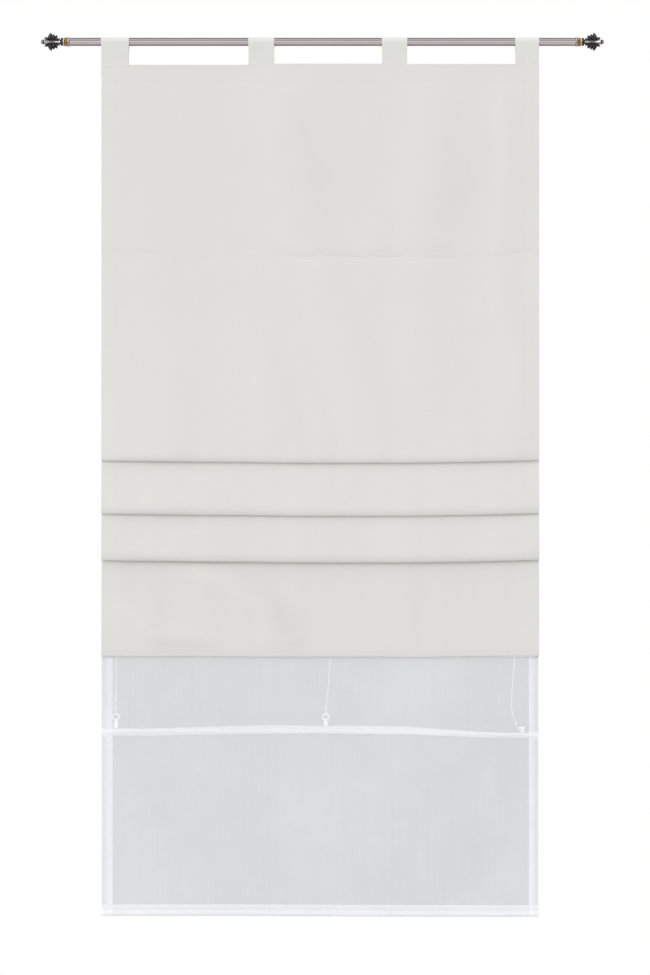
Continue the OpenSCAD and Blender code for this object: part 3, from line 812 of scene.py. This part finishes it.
def make_bent_rod(name, node, table, back, finish, material):
    """A lath or bar that follows its cloth a few millimetres off the straight."""
    low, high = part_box(node)
    r = half_height(node)
    ease = 0.5 * MM
    profile = [(low[0], 0.0), (low[0], r - ease), (low[0] + ease, r)]
    profile += [(x, r) for x in np.linspace(low[0] + ease, high[0] - ease, 60)[1:]]
    profile += [(high[0], r - ease), (high[0], 0.0)]
    _, y0, z0 = centre(node)
    make_turned(name, node, "voile", finish, material, profile, 20,
                lambda x, y, z: (x, y + y0 + back, z + z0 + float(lift(table, x))))


def loop_way(cy, cz, r, tail_y, tail_z, end_z, t):
    """A strip that comes up its front leg, over a round piece and down its back leg to a flat tail."""
    q = (tail_y, tail_z)
    away = math.dist(q, (cy, cz))
    turn = math.degrees(math.acos(min(1, r / away)))
    middle = math.degrees(math.atan2(q[1] - cz, q[0] - cy))
    over = arc(cy, cz, r, middle - turn, middle + turn - 360, 20)
    if abs(over[0][0] - cy) < abs(over[-1][0] - cy):
        over = over[::-1]
    ahead = over[0][0] < over[-1][0]
    first, last = (-t / 2, t / 2) if ahead else (t / 2, -t / 2)
    return [(tail_y + first, end_z), (tail_y + first, tail_z)] + over + [(tail_y + last, tail_z),
                                                                      (tail_y + last, end_z)]


# Each tab's side edges in millimetres: as measured, they differ by a few
TAB_EDGES = [(-404.1, -353.9), (-135.1, -88.3), (109, 154.8), (352.6, 395.6)]


def make_tab(i, cloth):
    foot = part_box(f"tab_{i}")[0][2]
    way = loop_way(0, 0, ROD_R + 0.1 * MM + TAPE_T / 2, 0, HEAD_Z + 4 * MM, foot, 2 * TAPE_T)
    left, right = (MM * x for x in TAB_EDGES[i - 1])
    across = columns([left, left + 3 * MM, right - 3 * MM, right], 4 * MM)

    def shift(x, y, z, weight):
        share = (x - (left + right) / 2) / ((right - left) / 2)
        leg = np.clip(-z / 0.02, 0, 1) * np.clip((z - HEAD_Z) / 0.015, 0, 1)
        y = y + smooth_noise(x, z, 20 + i, 0.05) * 0.25 * MM * leg
        return x + 0.4 * MM * share * (1 - leg), y, z

    make_sheet(f"tab_strap_{i}", f"tab_{i}", cloth, spaced(way, 3 * MM), across, TAPE_T, shift)


def make_facing(cloth):
    low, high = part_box("heading_facing")
    y = (low[1] + high[1]) / 2

    def shift(x, y, z, weight):
        y = y + smooth_noise(x, z, 31, 0.2) * 0.15 * MM
        return x, y, z + lift(HEAD_LIFT, x)

    way = spaced([(y, high[2]), (y, low[2])], 6 * MM)
    make_sheet("heading_strip", "heading_facing", cloth, way, columns([LEFT, RIGHT], 8 * MM), CLOTH_T,
               shift)


def make_lath_pocket(cloth):
    low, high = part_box("lath_pocket_1")
    flat_y, out_y = low[1] + TAPE_T / 2, high[1] - TAPE_T / 2
    way = [(flat_y, high[2]), (flat_y, SEAM_Z + 6.5 * MM), (out_y, SEAM_Z + 1.2 * MM),
           (out_y, SEAM_Z - 1.2 * MM), (flat_y, SEAM_Z - 6.5 * MM), (flat_y, low[2])]
    make_sheet("lath_pocket_tape", "lath_pocket_1", cloth, spaced(way, 3 * MM),
               columns([LEFT, RIGHT], 8 * MM), TAPE_T, body="lath_1_level")


# Turned pieces
def lathe(profile, turns=96):
    """Corners and faces of a profile, (along X, radius), turned round the rod's axis."""
    angles = [math.tau * k / turns for k in range(turns)]
    verts = [(s, r * math.cos(a), r * math.sin(a)) for a in angles for s, r in profile]
    return verts, grid_faces(turns, len(profile), round_rows=True)


def merged(piece, distance=0.005 * MM):
    """The piece with its doubles welded and its faces turned outwards."""
    shape = bmesh.new()
    shape.from_mesh(piece.data)
    bmesh.ops.remove_doubles(shape, verts=shape.verts, dist=distance)
    bmesh.ops.recalc_face_normals(shape, faces=shape.faces)
    shape.to_mesh(piece.data)
    shape.free()
    return piece


def make_turned(name, node, body, finish, material, profile, turns=96, place=None, more=None):
    """A turned piece with crisp edges; place moves its corners, and more adds to it before it settles."""
    verts, faces = lathe(profile, turns)
    if place:
        verts = [place(*v) for v in verts]
    piece = merged(new_piece(name, verts, faces, material))
    piece.data.set_sharp_from_angle(angle=math.radians(CRISP))
    if more:
        more(piece)
    settle(piece, body, finish, node)


ROD_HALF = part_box("rod_tube")[1][0]
ROD_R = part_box("rod_tube")[1][2]
BAND_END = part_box("bead_band_right")[1][0]
LEAF_ROOT = 7.5 * MM
STUD_HOLE = 4.55 * MM
# Edges sharper than this many degrees stay crisp on turned pieces
CRISP = 40
BEADS = 12
BEAD_R = 1.6 * MM
BEAD_LENGTH = 4.0 * MM


def make_rod(material):
    wall = 0.8 * MM
    ease = 0.2 * MM
    inner, eased = ROD_R - wall, ROD_HALF - ease
    profile = [(-eased, inner), (-ROD_HALF, inner + ease), (-ROD_HALF, ROD_R - ease), (-eased, ROD_R)]
    profile += [(x, ROD_R) for x in np.linspace(-eased, eased, 24)[1:]]
    profile += [(ROD_HALF, ROD_R - ease), (ROD_HALF, inner + ease), (eased, inner), (-eased, inner)]
    make_turned("rod", "rod_tube", ROOT, "rod_metal", material, profile)


def make_end_ring(side, end, material):
    low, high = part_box("end_ring_right")
    ease = 0.6 * MM
    round_z = high[2] - ease
    profile = arc(low[0] + ease, round_z, ease, 180, 90, 3) + arc(high[0] - ease, round_z, ease, 90, 0, 3)
    profile = [(low[0], STUD_HOLE), *profile, (high[0], STUD_HOLE), (low[0], STUD_HOLE)]
    make_turned(f"end_ring_{end}_metal", f"end_ring_{end}", ROOT, "ring_metal", material,
                [(side * s, q) for s, q in profile])


def balls_along(given, points, segments, rings, turn=(0.0, 0.0, 0.0)):
    """A smooth ball of the given Radius and Length, drawn out along its own Z, at each point."""
    tree = points.tree
    ball = field(tree, "GeometryNodeMeshUVSphere", {"Segments": segments, "Rings": rings, "Radius": 1.0})
    size = {"X": given["Radius"], "Y": given["Radius"], "Z": given["Length"] * 0.5}
    placed = {"Points": points, "Instance": ball, "Rotation": turn,
              "Scale": field(tree, "ShaderNodeCombineXYZ", size)}
    balls = field(tree, "GeometryNodeInstanceOnPoints", placed)
    balls = field(tree, "GeometryNodeRealizeInstances", {0: balls})
    return field(tree, "GeometryNodeSetShadeSmooth", {0: balls})


def painted(geometry, material, end):
    """Gives the geometry its material and ends its tree with it."""
    link(field(geometry.tree, "GeometryNodeSetMaterial", {0: geometry, "Material": material}), end.inputs[0])
    return geometry.tree


def bead_tree(material):
    """Beads set round a ring that faces along X."""
    given, end = new_group("bead_ring", "Geometry", ["Geometry"], Count=12, Round=0.0064, Radius=0.0016,
                           Length=0.0036, Along=0.0)
    tree = end.id_data
    circle = field(tree, "GeometryNodeMeshCircle", {"Vertices": given["Count"], "Radius": given["Round"]})
    along = field(tree, "ShaderNodeCombineXYZ", {"X": given["Along"]})
    beads = balls_along(given, circle, 20, 12)
    faced = {0: beads, "Rotation": (0.0, math.pi / 2, 0.0), "Translation": along}
    both = put(tree, "GeometryNodeJoinGeometry", {0: field(tree, "GeometryNodeTransform", faced)})
    link(given["Geometry"], both.inputs[0])
    return painted(Field(both.outputs[0]), material, end)


def with_nodes(piece, tree, values):
    """Runs a geometry tree on the piece, with its inputs set by their identifiers, and bakes it."""
    modifier = piece.modifiers.new("nodes", "NODES")
    modifier.node_group = tree
    for item in tree.interface.items_tree:
        if item.in_out == "INPUT" and item.name in values:
            modifier[item.identifier] = values[item.name]
    return baked(piece)


def make_bead_band(side, end, tree, material):
    low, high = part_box("bead_band_right")
    r, lip = high[2] + 0.4 * MM, 0.8 * MM
    half = [(0.0, STUD_HOLE), (0.0, r - 0.6 * MM), (0.2 * MM, r - 0.4 * MM), (lip, r - 0.5 * MM),
            (lip + 0.3 * MM, r - 2 * MM)]
    profile = [(low[0] + s, q) for s, q in half] + [(high[0] - s, q) for s, q in half[::-1]]
    profile.append(profile[0])
    values = {"Count": BEADS, "Round": r - BEAD_R, "Radius": BEAD_R, "Length": BEAD_LENGTH,
              "Along": side * (low[0] + high[0]) / 2}
    make_turned(f"bead_band_{end}_metal", f"bead_band_{end}", ROOT, "band_gold", material,
                [(side * s, q) for s, q in profile], 64, more=lambda piece: with_nodes(piece, tree, values))


# Leaf finials
LEAF_TIPS = [(1.4, 7.8), (5.4, 11.9), (10.6, 13.8), (16, 17.2), (28.8, 9.6)]
LEAF_NOTCHES = [(0, 4.2), (3.8, 5.4), (9.4, 10.6), (14.2, 12), (22.4, 8.6)]
LEAF_END = (19.5, 1.2)
# How far each leaf of a spray is turned from upright, in degrees
LEAF_TURNS = [-48, -16, 16, 48, 132, 164, 196, 228]
# The turned stem and its bell: distance from the leaves' root, and radius
STEM = [(8, 2.4), (15, 1.7), (17.5, 1.6), (21, 2.3), (25, 3.7), (28.4, 4.7), (29.4, 4.7), (30, 3.9),
        (30.5, 3.9)]
BUD_AT, BUD_R = 31.1, 4.5
# The grain of the casting: core and leaves are run together at this size
CAST_GRAIN = 0.36 * MM


def bow(a, b, h, n):
    """Points after a and up to b on a bow that bulges h to the left."""
    d = np.subtract(b, a)
    side = np.array([-d[1], d[0]]) / np.hypot(*d)
    return [tuple(np.array(a) + u * d + side * h * 4 * u * (1 - u)) for u in np.arange(1, n + 1) / n]


def leaf_outline():
    last = len(LEAF_TIPS) - 1
    points = [(0, 0), LEAF_NOTCHES[0]]
    for i, tip in enumerate(LEAF_TIPS):
        after = LEAF_NOTCHES[i + 1] if i < last else LEAF_END
        points += bow(LEAF_NOTCHES[i], tip, -0.35, 6)
        points += bow(tip, after, 0.5 + i * 0.25 if i < last else 0.3, 8)
    return points + [(LEAF_END[0], 0)]


def finial_profile(root):
    """The turned core, (along X, radius) in millimetres from the leaf's root."""
    stud, band_end = 4.5, (BAND_END - ROD_HALF) / MM
    collar, bead_end = 7.4, (root - ROD_HALF) / MM - 1
    bead_mid = (band_end + 2 + bead_end) / 2
    bead = arc(bead_mid, collar - 2, (bead_end - band_end - 2) / 2, 170, 10, 10)
    bud = arc(bead_end + 1 + BUD_AT, 0, BUD_R, 90, 6, 10)
    points = [(-13, 0.02), (-13, stud - 1), (-12, stud), (band_end, stud), (band_end, collar - 0.3),
              (band_end + 0.3, collar), (band_end + 1.7, collar), (band_end + 2, collar - 0.3)]
    points += bead + [(bead_end + 0.2, 4.4), (bead_end + 1.4, 3.2)]
    points += [(bead_end + 1 + s, r) for s, r in STEM]
    return points + bud + [(bead_end + 1 + BUD_AT + BUD_R, 0.02)]


def finial_mesh(name, material):
    """Right finial: core and leaves run together as one casting, then carved with veins."""
    root = BAND_END + LEAF_ROOT
    outline = leaf_outline()
    n = len(outline)
    verts, faces = lathe([(ROD_HALF + s * MM, r * MM) for s, r in finial_profile(root)], 48)
    for turn in LEAF_TURNS:
        a = math.radians(turn + 90)
        along, side = (math.cos(a), math.sin(a)), (-math.sin(a), math.cos(a))
        base = len(verts)
        for way in (-1, 1):
            for s, r in outline:
                half = way * (1.1 - 0.65 * r / 18)
                verts.append((root + s * MM, (along[0] * r + side[0] * half) * MM,
                              (along[1] * r + side[1] * half) * MM))
        faces.append([base + i for i in range(n)][::-1])
        faces.append([base + n + i for i in range(n)])
        faces += [(base + i, base + (i + 1) % n, base + n + (i + 1) % n, base + n + i) for i in range(n)]
    piece = merged(new_piece(name, verts, faces, material), 0.002 * MM)
    remesh = piece.modifiers.new("cast", "REMESH")
    remesh.mode = "VOXEL"
    remesh.voxel_size = CAST_GRAIN
    remesh.use_smooth_shade = True
    soft = piece.modifiers.new("soft", "SMOOTH")
    soft.factor = 0.5
    soft.iterations = 2
    baked(piece)
    carve(piece, root)
    return piece


def carve(piece, root):
    """Raises a vein along each lobe and sinks the hollows between, and dimples the bud."""
    mesh = piece.data
    co = np.array([v.co for v in mesh.vertices])
    normal = np.array([v.normal for v in mesh.vertices])
    s = (co[:, 0] - root) / MM
    r = np.hypot(co[:, 1], co[:, 2]) / MM
    angle = np.arctan2(co[:, 2], co[:, 1])
    turns = np.radians(np.array(LEAF_TURNS) + 90)
    off = np.abs(np.angle(np.exp(1j * (angle[:, None] - turns)))).min(1) * r
    on_leaf = (r > 4.5) & (s > -0.5) & (s < 31) & (off < 2.2)
    veins = [from_line(s, r, (foot[0] + 3.5, 2.0), tip)[1] for tip, foot in zip(LEAF_TIPS, LEAF_NOTCHES)]
    nearest = np.min(veins, 0)
    raised = np.where(on_leaf, 0.22 * (hump(nearest, 0.7) - hump(nearest - 2.2, 0.8)), 0)
    raised -= 0.5 * np.clip(np.cos(angle * 6), 0, 1) ** 2 * hump(s - BUD_AT - 1.5, 1.4)
    co += normal * raised[:, None] * MM
    mesh.vertices.foreach_set("co", co.astype(np.float32).ravel())
    mesh.update()


def make_finials(material):
    right = finial_mesh("finial_right_casting", material)
    verts = [(-v.co[0], v.co[1], v.co[2]) for v in right.data.vertices]
    faces = [tuple(reversed(p.vertices)) for p in right.data.polygons]
    left = new_piece("finial_left_casting", verts, faces, material)
    settle(right, ROOT, "finial_pewter", "finial_right")
    settle(left, ROOT, "finial_pewter", "finial_left")


# Rings, tapes and cords
def torus(at, flat, turns=40, sides=14):
    """A ring that lies level, or faces the room."""
    verts = []
    for a in (math.tau * i / turns for i in range(turns)):
        for b in (math.tau * k / sides for k in range(sides)):
            reach = RING_R + RING_SR * math.cos(b)
            u, v, w = reach * math.cos(a), reach * math.sin(a), RING_SR * math.sin(b)
            verts.append((at[0] + u, at[1] + v, at[2] + w) if flat else (at[0] + u, at[1] + w, at[2] - v))
    return verts, grid_faces(turns, sides, True, True)


def joined(parts):
    verts, faces = [], []
    for more, extra in parts:
        faces += [tuple(k + len(verts) for k in f) for f in extra]
        verts += [tuple(v) for v in more]
    return verts, faces


def tape_part(x, cy, cz, tail_y, drop, tail, flip):
    """One ring tape, as a thin closed strip; flip is -1 where it hangs down from its tail."""
    t = 0.5 * MM
    r = TAPE_LOOP_R + t / 2
    way = loop_way(cy, 0, r, tail_y, -drop, -drop - tail, t)
    way = spaced([(y, cz + flip * z) for y, z in way], 1.5 * MM)

    def shift(u, y, z, weight):
        below = -flip * (z - cz) - r
        width = TAPE_NECK + (TAPE_W - TAPE_NECK) * np.clip(below / (3 * MM), 0, 1)
        return x + (u - x) * width / TAPE_W, y, z

    return sheet_grid(way, np.linspace(x - TAPE_W / 2, x + TAPE_W / 2, 7), shift)


def ring_places(level):
    """Ring centres and whether each lies level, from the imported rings."""
    low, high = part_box(f"rings_{level}")
    if level == "voile":
        y = low[1] + RING_SR
        z = high[2] - RING_R - RING_SR
        return [((VOILE_RING_X[0], y, z), False), ((VOILE_RING_X[1], y, z), False),
                ((VOILE_RING_X[2], y + RING_R, low[2] + RING_SR - SUNK), True)]
    _, y, z = centre(f"rings_{level}")
    return [((x, y, z), level != "heading") for x in CORD_X]


def make_rings(level, plastic, tape):
    body = {"heading": ROOT, "voile": "voile"}.get(level, f"lath_{level}_level")
    places = ring_places(level)
    verts, faces = joined(torus(at, flat) for at, flat in places)
    rings = merged(new_piece(f"ring_set_{level}", verts, faces, plastic))
    settle(rings, body, "ring_plastic", f"rings_{level}")
    tail_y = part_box(f"tapes_{level}")[0][1] + 0.5 * MM
    parts = []
    for (x, y, z), flat in places:
        # Where the tape's loop lies on the ring, how far it drops to its tail, and the tail, in millimetres
        rim, drop, tail, flip = 0.0, 6, 10, 1
        if level == "heading":
            rim, flip = RING_R, -1
        elif level == "voile":
            rim, drop, tail = (0.0, 6, 9) if flat else (-RING_R, 8, 18)
        parts.append(tape_part(x, y - RING_R if flat else y, z + rim, tail_y, drop * MM, tail * MM, flip))
    verts, faces = joined(parts)
    tapes = thicken(new_piece(f"tape_set_{level}", verts, faces, tape), 0.45 * MM)
    settle(tapes, body, "white_tape", f"tapes_{level}")


def smooth_way(points, steps):
    """A soft curve through points in space."""
    p = [np.array(q, float) for q in points]
    p = [2 * p[0] - p[1]] + p + [2 * p[-1] - p[-2]]
    out = []
    for a, b, c, d in zip(p, p[1:], p[2:], p[3:]):
        n = max(2, min(40, math.ceil(np.linalg.norm(c - b) / steps)))
        for k in range(n):
            t = k / n
            out.append(0.5 * (2 * b + (c - a) * t + (2 * a - 5 * b + 4 * c - d) * t * t
                              + (3 * b - a - 3 * c + d) * t ** 3))
    return out + [p[-2]]


def turn_round(c, u, v, a, b, n=14):
    return [np.array(c) + WRAP_R * (math.cos(t) * np.array(u) + math.sin(t) * np.array(v))
            for t in np.radians(np.linspace(a, b, n + 1))]


def braided_tube(way, radius, sides=10, twist=0.0035, ridge=0.12):
    """A tube along a way whose skin is ridged by its braid."""
    verts = []
    way = [np.array(p) for p in way]
    along = 0.0
    side = np.array([0.9, 0.1, 0.42])
    for i, p in enumerate(way):
        d = way[min(i + 1, len(way) - 1)] - way[max(i - 1, 0)]
        d /= np.linalg.norm(d)
        side = side - d * (side @ d)
        side /= np.linalg.norm(side)
        other = np.cross(d, side)
        if i:
            along += np.linalg.norm(p - way[i - 1])
        for k in range(sides):
            a = math.tau * k / sides
            r = radius * (1 - ridge * (0.5 + 0.5 * math.cos(a * 2 + along / twist * math.tau)))
            verts.append(p + r * (math.cos(a) * side + math.sin(a) * other))
    caps = [range(sides)[::-1], range(len(verts) - sides, len(verts))]
    return verts, grid_faces(len(way), sides, round_width=True) + caps


def knot_way(at, down, turns=3, steps=12):
    """A short winding round the cord below its ring, where its end is tied off."""
    down = np.array(down, float) / np.linalg.norm(down)
    side = np.cross(down, (0.3, 1, 0.2))
    side /= np.linalg.norm(side)
    other = np.cross(down, side)
    rounds = [k / steps for k in range(steps * turns + 1)]
    return [np.array(at) + down * (k * 1.3 * MM)
            + 1.15 * MM * (math.cos(k * math.tau) * side + math.sin(k * math.tau) * other) for k in rounds]


def cord_route(i, flat):
    """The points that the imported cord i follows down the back."""
    x = CORD_X[i]
    route = [(x, RUN_Y - 2.5 * MM, HEAD_Z - 58 * MM), (x, RUN_Y, HEAD_Z - 88 * MM),
             (x, RUN_Y, HEM_Z + 525 * MM), (x, RUN_Y, HEM_Z + 25 * MM)]
    if flat:
        return route + [(x + a * MM, RUN_Y + b * MM, VOILE_POCKET_Z + c * MM) for a, b, c in SLACK_WAY]
    low = VOILE_RING_X[i]
    return route + [(x * 0.73 + low * 0.27, RUN_Y - 0.6 * MM, HEM_Z - 35 * MM),
                    (x * 0.33 + low * 0.67, RUN_Y - 1.3 * MM, VOILE_POCKET_Z + 60 * MM)]


def make_cord(i, side, material):
    (x, y, z), _ = ring_places("heading")[i]
    top = (x, y, z - RING_R)
    (x, y, z), flat = ring_places("voile")[i]
    low, out = ((x - RING_R, y, z), (-1, 0, 0)) if flat else ((x, y, z + RING_R), (0, 1, 0))
    first = turn_round(top, (0, 1, 0), UP, 250, 0)
    last = turn_round(low, out, UP, 0, -250)
    middle = smooth_way([first[-1], *cord_route(i, flat), last[0]], 12 * MM)
    parts = [braided_tube(first[:-1] + middle + last[1:], CORD_D / 2)]
    for at, towards in ((middle[1], middle[3] - middle[1]), (middle[-2], middle[-4] - middle[-2])):
        parts.append(braided_tube(knot_way(at, towards), THIN_CORD_R, 8))
    if i == 0:
        loop = [(x + dx, RUN_Y - 2 * MM, VOILE_POCKET_Z + dz) for dx, dz in LEFT_LOOP]
        parts.append(braided_tube(smooth_way(loop, 6 * MM), THIN_CORD_R))
    verts, faces = joined(parts)
    piece = new_piece(f"drawn_cord_{side}", verts, faces, material)
    settle(piece, ROOT, "cord_white", f"lift_cord_{side}")
    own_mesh(piece)


# Stitching
STITCH_STEP = 3.2 * MM
STITCH_LENGTH = 2.4 * MM


def stitch_tree(material):
    """Short stitches laid end to end along the edges of a mesh line."""
    given, end = new_group("stitch_run", "Geometry", ["Geometry"], Spacing=0.0032, Length=0.0024,
                           Radius=0.00022)
    tree = end.id_data
    line = {0: field(tree, "GeometryNodeMeshToCurve", {0: given["Geometry"]}), "Length": given["Spacing"]}
    even = field(tree, "GeometryNodeResampleCurve", line, mode="LENGTH")
    way = field(tree, "GeometryNodeInputTangent")
    turn = field(tree, "FunctionNodeAlignRotationToVector", {"Vector": way}, axis="Z")
    return painted(balls_along(given, even, 6, 5, turn), material, end)


def cloth_line(shift, y, z, x0, x1, step=8 * MM):
    """Points across a cloth at one height, with the cloth's own shift."""
    x = np.linspace(x0, x1, max(2, math.ceil((x1 - x0) / step)))
    x, y, z = shift(x, np.full_like(x, y), np.full_like(x, z), np.full_like(x, -1.0 if y > 0 else 0.0))
    return np.stack([x, y, z], -1)


def sew(name, tree, rows, radius, body, finish):
    """Stitches along each row of points."""
    verts, edges = [], []
    for row in rows:
        edges += [(len(verts) + k, len(verts) + k + 1) for k in range(len(row) - 1)]
        verts += list(row)
    values = {"Spacing": STITCH_STEP, "Length": STITCH_LENGTH, "Radius": radius}
    piece = with_nodes(new_piece(name, verts, [], edges=edges), tree, values)
    return settle(piece, body, finish)


def make_stitching(tree):
    inset = 3 * MM
    skin = PANEL_Y - CLOTH_T / 2 - 0.08 * MM
    rows = [cloth_line(panel_shift, skin, HEAD_Z - drop, LEFT + inset, RIGHT - inset)
            for drop in (3.5 * MM, 31 * MM)]
    seam = cloth_line(panel_shift, skin, SEAM_Z, LEFT, RIGHT)
    seam[:, 2] += lift(SEAM_LIFT, seam[:, 0])
    hem = cloth_line(panel_shift, skin - 2.75 * MM, hem_lath_at[2] + 7 * MM, LEFT, RIGHT)
    piece = sew("panel_stitching", tree, [*rows, seam, hem], 0.2 * MM, ROOT, "opaque_cloth")
    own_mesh(piece)
    skin = VOILE_Y - VOILE_T / 2 - 0.08 * MM
    half = VOILE_POCKET / 2 + 0.4 * MM
    rows = [cloth_line(voile_shift, skin, z, VOILE_LEFT + inset, VOILE_RIGHT - inset)
            for z in (VOILE_POCKET_Z + half, VOILE_POCKET_Z - half, VOILE_HEM_TOP)]
    sew("voile_stitching", tree, rows, 0.18 * MM, "voile", "voile_cloth")


def make_floor():
    """A round pale floor that fades out into the white."""
    material, where = new_material("floor_pale", Roughness=0.9)
    inputs = material.node_tree.nodes["Principled BSDF"].inputs
    link(where.vector("LENGTH", output="Value").soft_ramp(0.9, 1.65, 1.0, 0.0), inputs["Alpha"])
    link(where.mottle(3.0).mixed((0.8, 0.8, 0.8), (0.84, 0.84, 0.84)), inputs["Base Color"])
    n = 64
    turns = [math.tau * k / n for k in range(n)]
    rim = [(FLOOR_R * math.cos(t), FLOOR_R * math.sin(t), 0) for t in turns]
    floor = new_piece("floor", [(0, 0, 0), *rim], [(0, 1 + k, 1 + (k + 1) % n) for k in range(n)], material)
    floor.location = (0, 0, FLOOR_Z)


def paint(node, material):
    """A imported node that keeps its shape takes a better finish."""
    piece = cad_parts[node]
    piece.data.materials.clear()
    piece.data.materials.append(material)


make_camera()
make_light()
# The cords glow a little: painted light, so that they show brighter through the sheer cloth
cord_white = plastic_material("cord_white", (0.9, 0.9, 0.9), 0.6, 0.2)
for number, cord_side in enumerate(("left", "middle", "right")):
    make_cord(number, cord_side, cord_white)

opaque = cloth_material("opaque_weave", (0.755, 0.741, 0.703), (0.705, 0.691, 0.656), hems=True)
tab_weave = cloth_material("tab_weave", (0.79, 0.78, 0.74), (0.74, 0.73, 0.69), sheen=0.03)
make_rod(rod_material())
for number in (1, 2, 3, 4):
    make_tab(number, tab_weave)
make_panel(opaque)
make_facing(opaque)
make_lath_pocket(opaque)
make_voile(voile_material("voile_single", (0.89, 0.89, 0.91), (0.8, 0.81, 0.835), 0.29, 0.41),
           voile_material("voile_folded", (0.965, 0.96, 0.985), (0.83, 0.83, 0.86), 0.74, 0.9, True))

ring_metal = ring_material()
gold = gold_material()
bead_nodes = bead_tree(gold)
plug_black = plastic_material("plug_black", (0.03, 0.03, 0.03), 0.5)
for facing, end_name in ((-1, "left"), (1, "right")):
    make_end_ring(facing, end_name, ring_metal)
    make_bead_band(facing, end_name, bead_nodes, gold)
    paint(f"rod_plug_{end_name}", plug_black)
make_finials(finial_material())

# The rings and tapes glow a little: painted light, so that they show brighter through the sheer cloth
ring_white = plastic_material("ring_white", (0.9, 0.9, 0.9), 0.3, 0.2)
tape_weave = cloth_material("tape_weave", (0.92, 0.92, 0.92), (0.88, 0.88, 0.88), 0.5 * MM, painted_glow=0.3)
for level_name in ("heading", "1", "2", "3", "4", "voile"):
    make_rings(level_name, ring_white, tape_weave)

lath_white = plastic_material("lath_white", (0.86, 0.86, 0.84), 0.35)
bar_white = plastic_material("bar_white", (0.84, 0.84, 0.79), 0.4)
for lath in ("lath_1", "lath_2", "lath_3", "lath_4", "hem_lath"):
    paint(lath, lath_white)
make_bent_rod("voile_lath_bowed", "voile_lath", LATH_LIFT, LATH_BACK, "lath_white", lath_white)
make_bent_rod("weight_bar_sloping", "weight_bar", BAR_LIFT, 0.0, "bar_white", bar_white)
make_stitching(stitch_tree(cloth_material("thread_pale", (0.8, 0.8, 0.78), (0.74, 0.74, 0.71), 0.3 * MM)))
make_floor()
